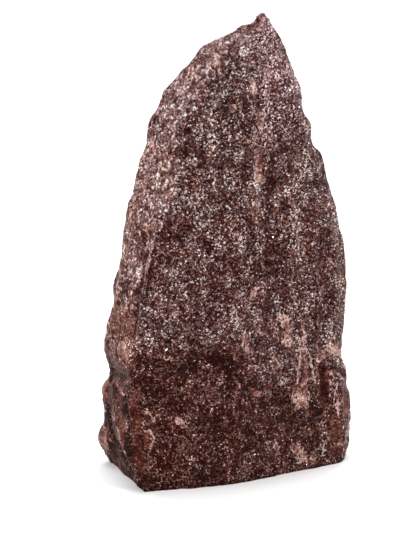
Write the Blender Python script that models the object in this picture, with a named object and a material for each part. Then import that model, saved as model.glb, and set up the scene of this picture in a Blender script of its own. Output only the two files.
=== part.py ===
"""A free-standing piece of red-brown mica-bearing quartz rock: broken rough on every side, sawn flat below.

Metres, +Z up. The origin is on the sawn face, under the middle of the stone's box.
The broad front face looks along -Y, and X runs across it to the right.

The form is a stack of level outlines. Each outline is a polygon, and its corners are the stone's upright
edges, each of which wanders from the ground to the peak. Relief is then added along the surface's normal:
broad lumps, break scars, the upright mica layers of the front, and the named knobs, hollows, ribs and grooves.
The fine surface is reduced to facets and sawn off level.
"""

import itertools

import bpy
import numpy as np
from mathutils import Euler

# Height of the peak, how far the rough form reaches below the saw cut, the height of the fan that closes the
# peak, and where the middle of the box lies in the frame of the edges below
HEIGHT = 0.1650
BELOW_SAW = 0.0020
CAP = 0.0002
BOX_MIDDLE = (0.0001, 0.0014)

# The upright edges, anticlockwise from above, each as knots of (height, across, depth)
EDGES = {
    "prow": [
        (-0.0020, -0.0304, -0.0232), (0.0029, -0.0318, -0.0205), (0.0085, -0.0348, -0.0160),
        (0.0146, -0.0382, -0.0120), (0.0200, -0.0406, -0.0082), (0.0262, -0.0408, -0.0072),
        (0.0391, -0.0386, -0.0082), (0.0480, -0.0385, -0.0080), (0.0600, -0.0368, -0.0070),
        (0.0750, -0.0340, -0.0060), (0.0900, -0.0306, -0.0045), (0.1050, -0.0272, -0.0025),
        (0.1200, -0.0238, -0.0005), (0.1340, -0.0188, 0.0012), (0.1430, -0.0130, 0.0025),
        (0.1510, -0.0052, 0.0040), (0.1570, 0.0030, 0.0055), (0.1610, 0.0082, 0.0066),
        (0.1648, 0.0121, 0.0078),
    ],
    "front left": [
        (-0.0020, -0.0288, -0.0256), (0.0050, -0.0298, -0.0248), (0.0100, -0.0320, -0.0238),
        (0.0160, -0.0341, -0.0226), (0.0310, -0.0342, -0.0202), (0.0430, -0.0334, -0.0182),
        (0.0554, -0.0315, -0.0162), (0.0697, -0.0283, -0.0150), (0.0854, -0.0252, -0.0130),
        (0.0941, -0.0230, -0.0118), (0.1090, -0.0207, -0.0080), (0.1193, -0.0190, -0.0058),
        (0.1294, -0.0168, -0.0036), (0.1388, -0.0119, -0.0012), (0.1454, -0.0064, 0.0009),
        (0.1521, 0.0005, 0.0030), (0.1574, 0.0074, 0.0050), (0.1607, 0.0106, 0.0062),
        (0.1648, 0.0123, 0.0076),
    ],
    "middle": [
        (-0.0020, 0.0030, -0.0182), (0.0200, 0.0034, -0.0176), (0.0440, 0.0050, -0.0164),
        (0.0700, 0.0085, -0.0122), (0.0985, 0.0110, -0.0080), (0.1180, 0.0104, -0.0040),
        (0.1358, 0.0104, 0.0000), (0.1500, 0.0118, 0.0024), (0.1595, 0.0128, 0.0044),
        (0.1648, 0.0127, 0.0075),
    ],
    "front right": [
        (-0.0020, 0.0436, 0.0034), (0.0140, 0.0438, 0.0030), (0.0300, 0.0428, 0.0022),
        (0.0370, 0.0418, 0.0024), (0.0400, 0.0402, 0.0046), (0.0600, 0.0412, 0.0048),
        (0.0800, 0.0392, 0.0052), (0.1000, 0.0345, 0.0054), (0.1150, 0.0298, 0.0054),
        (0.1300, 0.0256, 0.0056), (0.1420, 0.0228, 0.0058), (0.1520, 0.0194, 0.0062),
        (0.1600, 0.0158, 0.0066), (0.1648, 0.0131, 0.0076),
    ],
    "right": [
        (-0.0020, 0.0458, 0.0120), (0.0014, 0.0464, 0.0120), (0.0046, 0.0471, 0.0120),
        (0.0142, 0.0468, 0.0120), (0.0206, 0.0475, 0.0120), (0.0269, 0.0462, 0.0120),
        (0.0332, 0.0449, 0.0120), (0.0394, 0.0436, 0.0120), (0.0518, 0.0448, 0.0120),
        (0.0731, 0.0441, 0.0120), (0.0881, 0.0412, 0.0120), (0.0970, 0.0392, 0.0120),
        (0.1088, 0.0357, 0.0118), (0.1146, 0.0338, 0.0116), (0.1175, 0.0316, 0.0115),
        (0.1322, 0.0277, 0.0108), (0.1407, 0.0261, 0.0104), (0.1494, 0.0220, 0.0096),
        (0.1550, 0.0202, 0.0090), (0.1605, 0.0170, 0.0084), (0.1633, 0.0149, 0.0081),
        (0.1648, 0.0132, 0.0080),
    ],
    "back right": [
        (-0.0020, 0.0362, 0.0262), (0.0200, 0.0372, 0.0272), (0.0380, 0.0346, 0.0262),
        (0.0560, 0.0354, 0.0250), (0.0800, 0.0330, 0.0232), (0.1000, 0.0300, 0.0236),
        (0.1160, 0.0262, 0.0214), (0.1320, 0.0232, 0.0214), (0.1480, 0.0190, 0.0180),
        (0.1580, 0.0162, 0.0150), (0.1630, 0.0142, 0.0118), (0.1648, 0.0132, 0.0092),
    ],
    "back left": [
        (-0.0020, -0.0262, 0.0238), (0.0160, -0.0296, 0.0262), (0.0300, -0.0302, 0.0252),
        (0.0450, -0.0272, 0.0236), (0.0640, -0.0276, 0.0240), (0.0820, -0.0246, 0.0230),
        (0.1000, -0.0222, 0.0226), (0.1250, -0.0176, 0.0206), (0.1390, -0.0108, 0.0190),
        (0.1500, -0.0024, 0.0172), (0.1580, 0.0050, 0.0146), (0.1625, 0.0102, 0.0120),
        (0.1648, 0.0124, 0.0092),
    ],
    "left": [
        (-0.0020, -0.0412, 0.0034), (0.0000, -0.0418, 0.0036), (0.0045, -0.0442, 0.0040),
        (0.0077, -0.0463, 0.0040), (0.0108, -0.0463, 0.0040), (0.0140, -0.0446, 0.0040),
        (0.0171, -0.0442, 0.0040), (0.0234, -0.0449, 0.0040), (0.0296, -0.0446, 0.0040),
        (0.0327, -0.0422, 0.0040), (0.0358, -0.0418, 0.0040), (0.0420, -0.0424, 0.0040),
        (0.0465, -0.0437, 0.0040), (0.0542, -0.0421, 0.0040), (0.0602, -0.0404, 0.0040),
        (0.0632, -0.0403, 0.0040), (0.0677, -0.0409, 0.0040), (0.0722, -0.0393, 0.0040),
        (0.0752, -0.0384, 0.0040), (0.0900, -0.0365, 0.0040), (0.0988, -0.0342, 0.0040),
        (0.1017, -0.0327, 0.0040), (0.1189, -0.0283, 0.0045), (0.1271, -0.0266, 0.0050),
        (0.1356, -0.0231, 0.0060), (0.1385, -0.0220, 0.0062), (0.1494, -0.0111, 0.0075),
        (0.1522, -0.0086, 0.0078), (0.1575, 0.0009, 0.0080), (0.1600, 0.0066, 0.0080),
        (0.1612, 0.0110, 0.0080), (0.1648, 0.0122, 0.0081),
    ],
    "left hollow": [
        (-0.0020, -0.0376, -0.0060), (0.0080, -0.0392, -0.0050), (0.0150, -0.0402, -0.0036),
        (0.0230, -0.0422, -0.0014), (0.0300, -0.0420, -0.0016), (0.0350, -0.0396, -0.0018),
        (0.0400, -0.0404, -0.0020), (0.0465, -0.0418, -0.0018), (0.0600, -0.0388, -0.0012),
        (0.0677, -0.0384, -0.0010), (0.0750, -0.0362, -0.0010), (0.0900, -0.0340, -0.0004),
        (0.1050, -0.0302, 0.0006), (0.1200, -0.0262, 0.0018), (0.1356, -0.0208, 0.0036),
        (0.1440, -0.0148, 0.0048), (0.1522, -0.0066, 0.0058), (0.1578, 0.0014, 0.0066),
        (0.1605, 0.0066, 0.0072), (0.1648, 0.0121, 0.0080),
    ],
}

# The width of the side from each edge to the next, which shares out the columns of the surface
SIDES = {
    "prow": 0.008,
    "front left": 0.040,
    "middle": 0.038,
    "front right": 0.012,
    "right": 0.022,
    "back right": 0.058,
    "back left": 0.030,
    "left": 0.010,
    "left hollow": 0.012,
}

# How far the knots are rounded up and down and the edges around, and what that takes off them on average
KNOT_ROUNDING = 0.0010
EDGE_ROUNDING = 0.0011
ROUNDED_OFF = 0.0003

# Relief over the whole stone: the width of each kind, and how far it stands out
BROAD_LUMP, BROAD_LIFT = 0.0180, 0.0008
SMALL_LUMP, SMALL_LIFT = 0.0060, 0.0003
SCAR, SCAR_BOWL, SCAR_TILT = 0.0120, 0.09, 0.12
MICA_LAYER, LAYER_LIFT = (0.0040, 0.0200, 0.0300), 0.0005

# The front is smoother by this share, and relief fades toward the peak over PEAK_FADE, down to LEAST_RELIEF
FRONT_SMOOTHNESS = 0.60
PEAK_FADE, LEAST_RELIEF = 0.0100, 0.12

# The lattices of the lumps and scars are turned by these angles, so that none lines up with the ground
LATTICE_TURN = (0.50, 0.35, 0.60)

# The fine surface's columns and rows, and the share of its faces that is kept
COLUMNS, ROWS = 220, 150
FACETS_KEPT = 0.130

# Knobs stand out and hollows go in: (across, depth, height) of the middle, half widths, lift
KNOBS = {
    "wedge on the left side": ((-0.0378, -0.0105, 0.0465), (0.0030, 0.0050, 0.0044), 0.0014),
    "left side knob": ((-0.0376, -0.0045, 0.0700), (0.0042, 0.0050, 0.0034), 0.0010),
    "upper left hollow": ((-0.0280, -0.0100, 0.0850), (0.0026, 0.0045, 0.0045), -0.0008),
    "upper left knob": ((-0.0300, -0.0050, 0.0960), (0.0040, 0.0050, 0.0060), 0.0006),
    "brow of the front": ((-0.0050, -0.0160, 0.0560), (0.0220, 0.0080, 0.0060), 0.0008),
    "foot of the front": ((-0.0100, -0.0190, 0.0400), (0.0180, 0.0080, 0.0080), -0.0008),
    "front pit": ((-0.0067, -0.0119, 0.0868), (0.0026, 0.0040, 0.0034), -0.0007),
    "upper front pit": ((-0.0154, -0.0115, 0.0928), (0.0024, 0.0040, 0.0030), -0.0007),
    "wide plate": ((0.0276, -0.0062, 0.0290), (0.0030, 0.0040, 0.0050), 0.0012),
    "low plate": ((0.0268, -0.0067, 0.0100), (0.0028, 0.0040, 0.0034), 0.0009),
    "small plate": ((0.0175, -0.0097, 0.0425), (0.0018, 0.0040, 0.0030), 0.0008),
    "upper hollow of the back": ((-0.0040, 0.0220, 0.0960), (0.0130, 0.0120, 0.0200), -0.0024),
    "lower hollow of the back": ((0.0200, 0.0270, 0.0420), (0.0130, 0.0120, 0.0180), -0.0022),
    "left hollow of the back": ((-0.0230, 0.0250, 0.0340), (0.0100, 0.0120, 0.0130), -0.0016),
}

# Ribs stand out and grooves go in along a line: its points, half width, lift
RIBS = {
    "groove of the left side": (
        ((-0.0412, 0.0006, 0.0351), (-0.0424, -0.0015, 0.0281), (-0.0420, -0.0016, 0.0200),
         (-0.0401, -0.0040, 0.0129), (-0.0373, -0.0098, 0.0092), (-0.0334, -0.0165, 0.0049),
         (-0.0300, -0.0240, 0.0022)),
        0.0012, -0.0018,
    ),
    "ridge beside that groove": (
        ((-0.0389, -0.0076, 0.0329), (-0.0394, -0.0095, 0.0270), (-0.0384, -0.0125, 0.0215),
         (-0.0362, -0.0180, 0.0165), (-0.0330, -0.0232, 0.0110), (-0.0290, -0.0252, 0.0039)),
        0.0022, 0.0011,
    ),
    "crease beside that ridge": (
        ((-0.0355, -0.0160, 0.0335), (-0.0345, -0.0200, 0.0265), (-0.0344, -0.0222, 0.0190)),
        0.0010, -0.0009,
    ),
    "recess under the wedge": (
        ((-0.0408, 0.0000, 0.0372), (-0.0383, -0.0060, 0.0376), (-0.0355, -0.0150, 0.0392)),
        0.0014, -0.0017,
    ),
    "groove left of the front": (
        ((-0.0262, -0.0080, 0.0900), (-0.0285, -0.0110, 0.0770), (-0.0303, -0.0120, 0.0677),
         (-0.0322, -0.0140, 0.0550)),
        0.0014, -0.0012,
    ),
    "upper ridge of the left side": (
        ((-0.0264, -0.0026, 0.1081), (-0.0300, -0.0037, 0.0957), (-0.0338, -0.0014, 0.0825),
         (-0.0367, -0.0046, 0.0705)),
        0.0013, 0.0007,
    ),
    "lower ridge of the left side": (
        ((-0.0352, -0.0012, 0.0780), (-0.0371, -0.0041, 0.0703), (-0.0403, -0.0013, 0.0584),
         (-0.0414, -0.0028, 0.0495)),
        0.0014, 0.0008,
    ),
    "rib of the upper front": (
        ((0.0089, 0.0000, 0.1427), (0.0110, -0.0027, 0.1221), (0.0121, -0.0042, 0.1136),
         (0.0100, -0.0098, 0.0916)),
        0.0013, 0.0008,
    ),
    "groove beside that rib": (
        ((0.0146, -0.0004, 0.1260), (0.0158, -0.0026, 0.1115), (0.0146, -0.0079, 0.0790)),
        0.0018, -0.0008,
    ),
    "rib of the middle": (
        ((0.0132, -0.0085, 0.0879), (0.0129, -0.0096, 0.0737), (0.0130, -0.0107, 0.0593)),
        0.0016, 0.0005,
    ),
    "rib left of the middle": (
        ((0.0050, -0.0025, 0.1292), (0.0036, -0.0058, 0.1122), (0.0023, -0.0098, 0.0953)),
        0.0020, 0.0005,
    ),
    "upper left rib": (
        ((-0.0047, -0.0032, 0.1328), (-0.0071, -0.0066, 0.1159), (-0.0099, -0.0100, 0.0972)),
        0.0020, 0.0005,
    ),
    "upper right rib": (
        ((0.0209, 0.0029, 0.1284), (0.0224, 0.0005, 0.1110), (0.0232, -0.0023, 0.0936)),
        0.0014, 0.0006,
    ),
    "rib right of the middle": (
        ((0.0227, -0.0036, 0.0829), (0.0221, -0.0057, 0.0651), (0.0205, -0.0082, 0.0470)),
        0.0014, 0.0007,
    ),
    "rib far right": (
        ((0.0312, 0.0010, 0.0860), (0.0330, 0.0004, 0.0633), (0.0330, -0.0006, 0.0460)),
        0.0013, 0.0009,
    ),
    "groove far right": (
        ((0.0352, 0.0016, 0.0760), (0.0362, 0.0016, 0.0595), (0.0352, 0.0006, 0.0480)),
        0.0014, -0.0010,
    ),
    "column over the wide plate": (
        ((0.0286, -0.0021, 0.0462), (0.0286, -0.0031, 0.0405), (0.0282, -0.0056, 0.0350)),
        0.0018, 0.0010,
    ),
    "shelf on the right": (
        ((0.0339, 0.0000, 0.0410), (0.0368, 0.0016, 0.0438), (0.0407, 0.0042, 0.0432)),
        0.0018, 0.0018,
    ),
    "hollow under the shelf": (
        ((0.0376, 0.0000, 0.0384), (0.0413, 0.0013, 0.0367), (0.0439, 0.0048, 0.0350)),
        0.0013, -0.0014,
    ),
    "pocket beside the block": (
        ((0.0353, -0.0002, 0.0375), (0.0358, -0.0005, 0.0316), (0.0363, -0.0007, 0.0243)),
        0.0016, -0.0020,
    ),
    "crest of the block": (
        ((0.0410, 0.0005, 0.0312), (0.0417, 0.0016, 0.0212), (0.0427, 0.0022, 0.0092)),
        0.0030, 0.0008,
    ),
    "ridge of the back": (
        ((0.0010, 0.0270, 0.0050), (0.0050, 0.0260, 0.0500), (0.0120, 0.0210, 0.1100)),
        0.0060, 0.0016,
    ),
}


def hashed(cells, seed):
    """A steady pseudo-random value from 0 to 1 for each cell, from its three whole numbers and the seed."""
    x, y, z = (cells[..., axis].astype(np.int64).astype(np.uint32) for axis in range(3))
    mixed = x * np.uint32(73856093) ^ y * np.uint32(19349663) ^ z * np.uint32(83492791)
    mixed = mixed ^ np.uint32(seed * 374761393 % 2**32)
    for shift, factor in ((15, 2246822519), (13, 3266489917)):
        mixed = (mixed ^ (mixed >> np.uint32(shift))) * np.uint32(factor)
    return (mixed ^ (mixed >> np.uint32(16))).astype(np.float64) / 2**32


def lumps(points, size, seed):
    """Smooth noise from -1 to 1: random values at the corners of a lattice as wide as size, eased between."""
    scaled = points / np.asarray(size)
    cell = np.floor(scaled)
    part = scaled - cell
    ease = part * part * (3 - 2 * part)
    total = np.zeros(points.shape[:-1])
    for corner in itertools.product((0, 1), repeat=3):
        weight = np.prod(np.where(np.array(corner) == 1, ease, 1 - ease), axis=-1)
        total += weight * hashed(cell + corner, seed)
    return 2 * total - 1


def breakage(points, size, hollow, tilt, seed):
    """Break scars, in metres: shallow tilted bowls round random spots, meeting in sharp ridges.

    Each spot's bowl rises as hollow times the square of the distance, and leans by a random slope up to tilt.
    A point lies on the lowest bowl of those near it.
    """
    cell = np.floor(points / size)
    height = np.full(points.shape[:-1], np.inf)
    for step in itertools.product((-1, 0, 1), repeat=3):
        there = cell + step
        spot = np.stack([hashed(there, seed + k) for k in range(3)], axis=-1)
        slope = np.stack([hashed(there, seed + 3 + k) for k in range(3)], axis=-1) * 2 - 1
        away = points - (there + spot) * size
        bowl = hollow * size * np.sum((away / size) ** 2, axis=-1)
        height = np.minimum(height, bowl + tilt * np.sum(away * slope, axis=-1))
    return height


def from_line(points, line):
    """The distance from each point to a line of straight runs."""
    nearest = np.full(points.shape[:-1], np.inf)
    for start, end in zip(np.array(line[:-1]), np.array(line[1:])):
        along = np.clip((points - start) @ (end - start) / np.sum((end - start) ** 2), 0, 1)
        away = points - start - along[..., None] * (end - start)
        nearest = np.minimum(nearest, np.linalg.norm(away, axis=-1))
    return nearest


def edge_places(knots, heights):
    """An edge's across and depth at each height: straight runs between knots, rounded by a moving average."""
    knots = np.array(knots)
    total = np.zeros((len(heights), 2))
    offsets = np.linspace(-KNOT_ROUNDING, KNOT_ROUNDING, 5)
    for offset in offsets:
        total += np.stack([np.interp(heights + offset, knots[:, 0], knots[:, k]) for k in (1, 2)], axis=1)
    return total / len(offsets)


def outlines(heights, around):
    """The level outlines: a row for each height and a column for each place around, from 0 to 1."""
    corners = np.stack([edge_places(knots, heights) for knots in EDGES.values()], axis=1)
    widths = np.array(list(SIDES.values()))
    starts = np.concatenate([[0.0], np.cumsum(widths)]) / widths.sum()
    offsets = np.linspace(-EDGE_ROUNDING, EDGE_ROUNDING, 5) / widths.sum()
    level = np.zeros((len(heights), len(around), 2))
    for offset in offsets:
        place = (around + offset) % 1.0
        side = np.searchsorted(starts, place, side="right") - 1
        share = ((place - starts[side]) / (starts[side + 1] - starts[side]))[None, :, None]
        level += corners[:, side] * (1 - share) + corners[:, (side + 1) % len(EDGES)] * share
    upright = np.broadcast_to(heights[:, None, None], level.shape[:2] + (1,))
    return np.concatenate([level / len(offsets), upright], axis=2)


def normals(surface):
    """The unit normal at each point of the surface, from its neighbours round the outline and up the rows."""
    around = np.roll(surface, -1, axis=1) - np.roll(surface, 1, axis=1)
    upward = np.gradient(surface, axis=0)
    normal = np.cross(around, upward)
    return normal / np.linalg.norm(normal, axis=2, keepdims=True)


def relief(points, normal):
    """How far each point stands out from the smooth form, in metres."""
    facing_front = np.clip(-normal[..., 1], 0, 1) ** 2
    rough = 1 - FRONT_SMOOTHNESS * facing_front
    turned = points @ np.array(Euler(LATTICE_TURN).to_matrix())
    height = ROUNDED_OFF + BROAD_LIFT * lumps(turned, BROAD_LUMP, seed=1) * rough
    height += SMALL_LIFT * lumps(turned, SMALL_LUMP, seed=2)
    height += LAYER_LIFT * lumps(points, MICA_LAYER, seed=3) * facing_front
    height += breakage(turned, SCAR, SCAR_BOWL, SCAR_TILT, seed=20) * rough
    for middle, half_widths, lift in KNOBS.values():
        away = (points - middle) / half_widths
        height += lift * np.exp(-np.sum(away * away, axis=-1))
    for line, half_width, lift in RIBS.values():
        height += lift * np.exp(-(from_line(points, line) / half_width) ** 2)
    return height * np.clip((HEIGHT - points[..., 2]) / PEAK_FADE, LEAST_RELIEF, 1)


def stone_surface(columns, rows):
    """The whole rough surface as rows and columns of points, from below the saw cut to the peak."""
    heights = np.linspace(-BELOW_SAW, HEIGHT - CAP, rows)
    around = np.arange(columns) / columns
    surface = outlines(heights, around)
    outward = normals(surface)
    surface += outward * relief(surface, outward)[..., None]
    surface[..., :2] -= BOX_MIDDLE
    return surface


def closed_mesh(name, surface):
    """A mesh of quads between neighbouring points, closed below by one face and above by a fan to the peak."""
    rows, columns = surface.shape[:2]
    index = np.arange(rows * columns).reshape(rows, columns)
    following = np.roll(index, -1, axis=1)
    quads = np.stack([index[:-1], following[:-1], following[1:], index[1:]], axis=2).reshape(-1, 4)
    peak = surface[-1].mean(axis=0) + (0, 0, CAP)
    fan = [(a, b, rows * columns) for a, b in zip(index[-1].tolist(), following[-1].tolist())]
    faces = quads.tolist() + fan + [index[0][::-1].tolist()]
    mesh = bpy.data.meshes.new(name)
    mesh.from_pydata(surface.reshape(-1, 3).tolist() + [peak.tolist()], [], faces)
    mesh.update()
    return mesh


def rock_material():
    """Red-brown mica-bearing quartz: mid rough, not metal."""
    material = bpy.data.materials.new("mica quartz rock")
    material.use_nodes = True
    shader = material.node_tree.nodes["Principled BSDF"]
    shader.inputs["Base Color"].default_value = (0.145, 0.076, 0.070, 1)
    shader.inputs["Roughness"].default_value = 0.55
    shader.inputs["Metallic"].default_value = 0.0
    return material


def saw_block():
    """The block below the ground that the saw takes away. It guides the cut and isn't part of the stone."""
    bpy.ops.mesh.primitive_cube_add(size=1, location=(0, 0, -HEIGHT / 2))
    block = bpy.context.active_object
    block.name = "saw_block"
    block.scale = (2 * HEIGHT, 2 * HEIGHT, HEIGHT)
    block.hide_render = True
    block.display_type = "WIRE"
    return block


def build():
    """Make the stone, reduced to facets and sawn off level at the ground."""
    stone = bpy.data.objects.new("stone", closed_mesh("stone", stone_surface(COLUMNS, ROWS)))
    bpy.context.collection.objects.link(stone)
    stone.data.materials.append(rock_material())
    reduce = stone.modifiers.new("reduce to facets", "DECIMATE")
    reduce.ratio = FACETS_KEPT
    saw = stone.modifiers.new("saw cut", "BOOLEAN")
    saw.operation = "DIFFERENCE"
    saw.solver = "EXACT"
    saw.object = saw_block()
    return stone


for leftover in list(bpy.data.objects):
    bpy.data.objects.remove(leftover, do_unlink=True)
build()
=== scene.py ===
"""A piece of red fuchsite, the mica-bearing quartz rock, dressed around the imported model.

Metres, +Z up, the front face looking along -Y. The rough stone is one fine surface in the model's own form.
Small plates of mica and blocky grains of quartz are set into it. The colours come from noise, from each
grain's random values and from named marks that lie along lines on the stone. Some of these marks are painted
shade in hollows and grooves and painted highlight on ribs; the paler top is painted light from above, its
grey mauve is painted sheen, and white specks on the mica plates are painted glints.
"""

import itertools
import math

import bmesh
import bpy
import numpy as np
from mathutils import Euler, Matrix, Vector


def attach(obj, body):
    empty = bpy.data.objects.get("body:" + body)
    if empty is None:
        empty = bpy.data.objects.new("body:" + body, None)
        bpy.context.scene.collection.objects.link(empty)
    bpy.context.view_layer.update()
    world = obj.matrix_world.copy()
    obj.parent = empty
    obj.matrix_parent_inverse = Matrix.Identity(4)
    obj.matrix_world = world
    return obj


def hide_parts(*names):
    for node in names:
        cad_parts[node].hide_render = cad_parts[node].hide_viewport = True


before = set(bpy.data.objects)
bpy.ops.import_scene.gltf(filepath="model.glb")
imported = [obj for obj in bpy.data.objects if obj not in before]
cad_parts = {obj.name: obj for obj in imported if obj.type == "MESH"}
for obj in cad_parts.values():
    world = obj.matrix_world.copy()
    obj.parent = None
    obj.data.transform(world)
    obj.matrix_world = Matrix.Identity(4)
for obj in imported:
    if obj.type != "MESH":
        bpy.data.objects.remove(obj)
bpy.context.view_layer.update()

# Height of the peak, how far the rough form reaches below the saw cut, the height of the fan that closes the
# peak, and where the middle of the box lies in the frame of the edges below
HEIGHT = 0.1650
BELOW_SAW = 0.0020
CAP = 0.0002
BOX_MIDDLE = (0.0001, 0.0014)

# The upright edges, anticlockwise from above, each as knots of (height, across, depth)
EDGES = {
    "prow": [
        (-0.0020, -0.0304, -0.0232), (0.0029, -0.0318, -0.0205), (0.0085, -0.0348, -0.0160),
        (0.0146, -0.0382, -0.0120), (0.0200, -0.0406, -0.0082), (0.0262, -0.0408, -0.0072),
        (0.0391, -0.0386, -0.0082), (0.0480, -0.0385, -0.0080), (0.0600, -0.0368, -0.0070),
        (0.0750, -0.0340, -0.0060), (0.0900, -0.0306, -0.0045), (0.1050, -0.0272, -0.0025),
        (0.1200, -0.0238, -0.0005), (0.1340, -0.0188, 0.0012), (0.1430, -0.0130, 0.0025),
        (0.1510, -0.0052, 0.0040), (0.1570, 0.0030, 0.0055), (0.1610, 0.0082, 0.0066),
        (0.1648, 0.0121, 0.0078),
    ],
    "front left": [
        (-0.0020, -0.0288, -0.0256), (0.0050, -0.0298, -0.0248), (0.0100, -0.0320, -0.0238),
        (0.0160, -0.0341, -0.0226), (0.0310, -0.0342, -0.0202), (0.0430, -0.0334, -0.0182),
        (0.0554, -0.0315, -0.0162), (0.0697, -0.0283, -0.0150), (0.0854, -0.0252, -0.0130),
        (0.0941, -0.0230, -0.0118), (0.1090, -0.0207, -0.0080), (0.1193, -0.0190, -0.0058),
        (0.1294, -0.0168, -0.0036), (0.1388, -0.0119, -0.0012), (0.1454, -0.0064, 0.0009),
        (0.1521, 0.0005, 0.0030), (0.1574, 0.0074, 0.0050), (0.1607, 0.0106, 0.0062),
        (0.1648, 0.0123, 0.0076),
    ],
    "middle": [
        (-0.0020, 0.0030, -0.0182), (0.0200, 0.0034, -0.0176), (0.0440, 0.0050, -0.0164),
        (0.0700, 0.0085, -0.0122), (0.0985, 0.0110, -0.0080), (0.1180, 0.0104, -0.0040),
        (0.1358, 0.0104, 0.0000), (0.1500, 0.0118, 0.0024), (0.1595, 0.0128, 0.0044),
        (0.1648, 0.0127, 0.0075),
    ],
    "front right": [
        (-0.0020, 0.0436, 0.0034), (0.0140, 0.0438, 0.0030), (0.0300, 0.0428, 0.0022),
        (0.0370, 0.0418, 0.0024), (0.0400, 0.0402, 0.0046), (0.0600, 0.0412, 0.0048),
        (0.0800, 0.0392, 0.0052), (0.1000, 0.0345, 0.0054), (0.1150, 0.0298, 0.0054),
        (0.1300, 0.0256, 0.0056), (0.1420, 0.0228, 0.0058), (0.1520, 0.0194, 0.0062),
        (0.1600, 0.0158, 0.0066), (0.1648, 0.0131, 0.0076),
    ],
    "right": [
        (-0.0020, 0.0458, 0.0120), (0.0014, 0.0464, 0.0120), (0.0046, 0.0471, 0.0120),
        (0.0142, 0.0468, 0.0120), (0.0206, 0.0475, 0.0120), (0.0269, 0.0462, 0.0120),
        (0.0332, 0.0449, 0.0120), (0.0394, 0.0436, 0.0120), (0.0518, 0.0448, 0.0120),
        (0.0731, 0.0441, 0.0120), (0.0881, 0.0412, 0.0120), (0.0970, 0.0392, 0.0120),
        (0.1088, 0.0357, 0.0118), (0.1146, 0.0338, 0.0116), (0.1175, 0.0316, 0.0115),
        (0.1322, 0.0277, 0.0108), (0.1407, 0.0261, 0.0104), (0.1494, 0.0220, 0.0096),
        (0.1550, 0.0202, 0.0090), (0.1605, 0.0170, 0.0084), (0.1633, 0.0149, 0.0081),
        (0.1648, 0.0132, 0.0080),
    ],
    "back right": [
        (-0.0020, 0.0362, 0.0262), (0.0200, 0.0372, 0.0272), (0.0380, 0.0346, 0.0262),
        (0.0560, 0.0354, 0.0250), (0.0800, 0.0330, 0.0232), (0.1000, 0.0300, 0.0236),
        (0.1160, 0.0262, 0.0214), (0.1320, 0.0232, 0.0214), (0.1480, 0.0190, 0.0180),
        (0.1580, 0.0162, 0.0150), (0.1630, 0.0142, 0.0118), (0.1648, 0.0132, 0.0092),
    ],
    "back left": [
        (-0.0020, -0.0262, 0.0238), (0.0160, -0.0296, 0.0262), (0.0300, -0.0302, 0.0252),
        (0.0450, -0.0272, 0.0236), (0.0640, -0.0276, 0.0240), (0.0820, -0.0246, 0.0230),
        (0.1000, -0.0222, 0.0226), (0.1250, -0.0176, 0.0206), (0.1390, -0.0108, 0.0190),
        (0.1500, -0.0024, 0.0172), (0.1580, 0.0050, 0.0146), (0.1625, 0.0102, 0.0120),
        (0.1648, 0.0124, 0.0092),
    ],
    "left": [
        (-0.0020, -0.0412, 0.0034), (0.0000, -0.0418, 0.0036), (0.0045, -0.0442, 0.0040),
        (0.0077, -0.0463, 0.0040), (0.0108, -0.0463, 0.0040), (0.0140, -0.0446, 0.0040),
        (0.0171, -0.0442, 0.0040), (0.0234, -0.0449, 0.0040), (0.0296, -0.0446, 0.0040),
        (0.0327, -0.0422, 0.0040), (0.0358, -0.0418, 0.0040), (0.0420, -0.0424, 0.0040),
        (0.0465, -0.0437, 0.0040), (0.0542, -0.0421, 0.0040), (0.0602, -0.0404, 0.0040),
        (0.0632, -0.0403, 0.0040), (0.0677, -0.0409, 0.0040), (0.0722, -0.0393, 0.0040),
        (0.0752, -0.0384, 0.0040), (0.0900, -0.0365, 0.0040), (0.0988, -0.0342, 0.0040),
        (0.1017, -0.0327, 0.0040), (0.1189, -0.0283, 0.0045), (0.1271, -0.0266, 0.0050),
        (0.1356, -0.0231, 0.0060), (0.1385, -0.0220, 0.0062), (0.1494, -0.0111, 0.0075),
        (0.1522, -0.0086, 0.0078), (0.1575, 0.0009, 0.0080), (0.1600, 0.0066, 0.0080),
        (0.1612, 0.0110, 0.0080), (0.1648, 0.0122, 0.0081),
    ],
    "left hollow": [
        (-0.0020, -0.0376, -0.0060), (0.0080, -0.0392, -0.0050), (0.0150, -0.0402, -0.0036),
        (0.0230, -0.0422, -0.0014), (0.0300, -0.0420, -0.0016), (0.0350, -0.0396, -0.0018),
        (0.0400, -0.0404, -0.0020), (0.0465, -0.0418, -0.0018), (0.0600, -0.0388, -0.0012),
        (0.0677, -0.0384, -0.0010), (0.0750, -0.0362, -0.0010), (0.0900, -0.0340, -0.0004),
        (0.1050, -0.0302, 0.0006), (0.1200, -0.0262, 0.0018), (0.1356, -0.0208, 0.0036),
        (0.1440, -0.0148, 0.0048), (0.1522, -0.0066, 0.0058), (0.1578, 0.0014, 0.0066),
        (0.1605, 0.0066, 0.0072), (0.1648, 0.0121, 0.0080),
    ],
}

# The width of the side from each edge to the next, which shares out the columns of the surface
SIDES = {
    "prow": 0.008,
    "front left": 0.040,
    "middle": 0.038,
    "front right": 0.012,
    "right": 0.022,
    "back right": 0.058,
    "back left": 0.030,
    "left": 0.010,
    "left hollow": 0.012,
}

# How far the knots are rounded up and down and the edges around, in how many steps, and what that takes off
# them on average
KNOT_ROUNDING = 0.0010
EDGE_ROUNDING = 0.0011
ROUNDING_STEPS = 5
ROUNDED_OFF = 0.0003

# Relief over the whole stone: the width of each kind, and how far it stands out
BROAD_LUMP, BROAD_LIFT = 0.0180, 0.0008
SMALL_LUMP, SMALL_LIFT = 0.0060, 0.0003
SCAR, SCAR_BOWL, SCAR_TILT = 0.0120, 0.09, 0.12
MICA_LAYER, LAYER_LIFT = (0.0040, 0.0200, 0.0300), 0.0005

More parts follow.
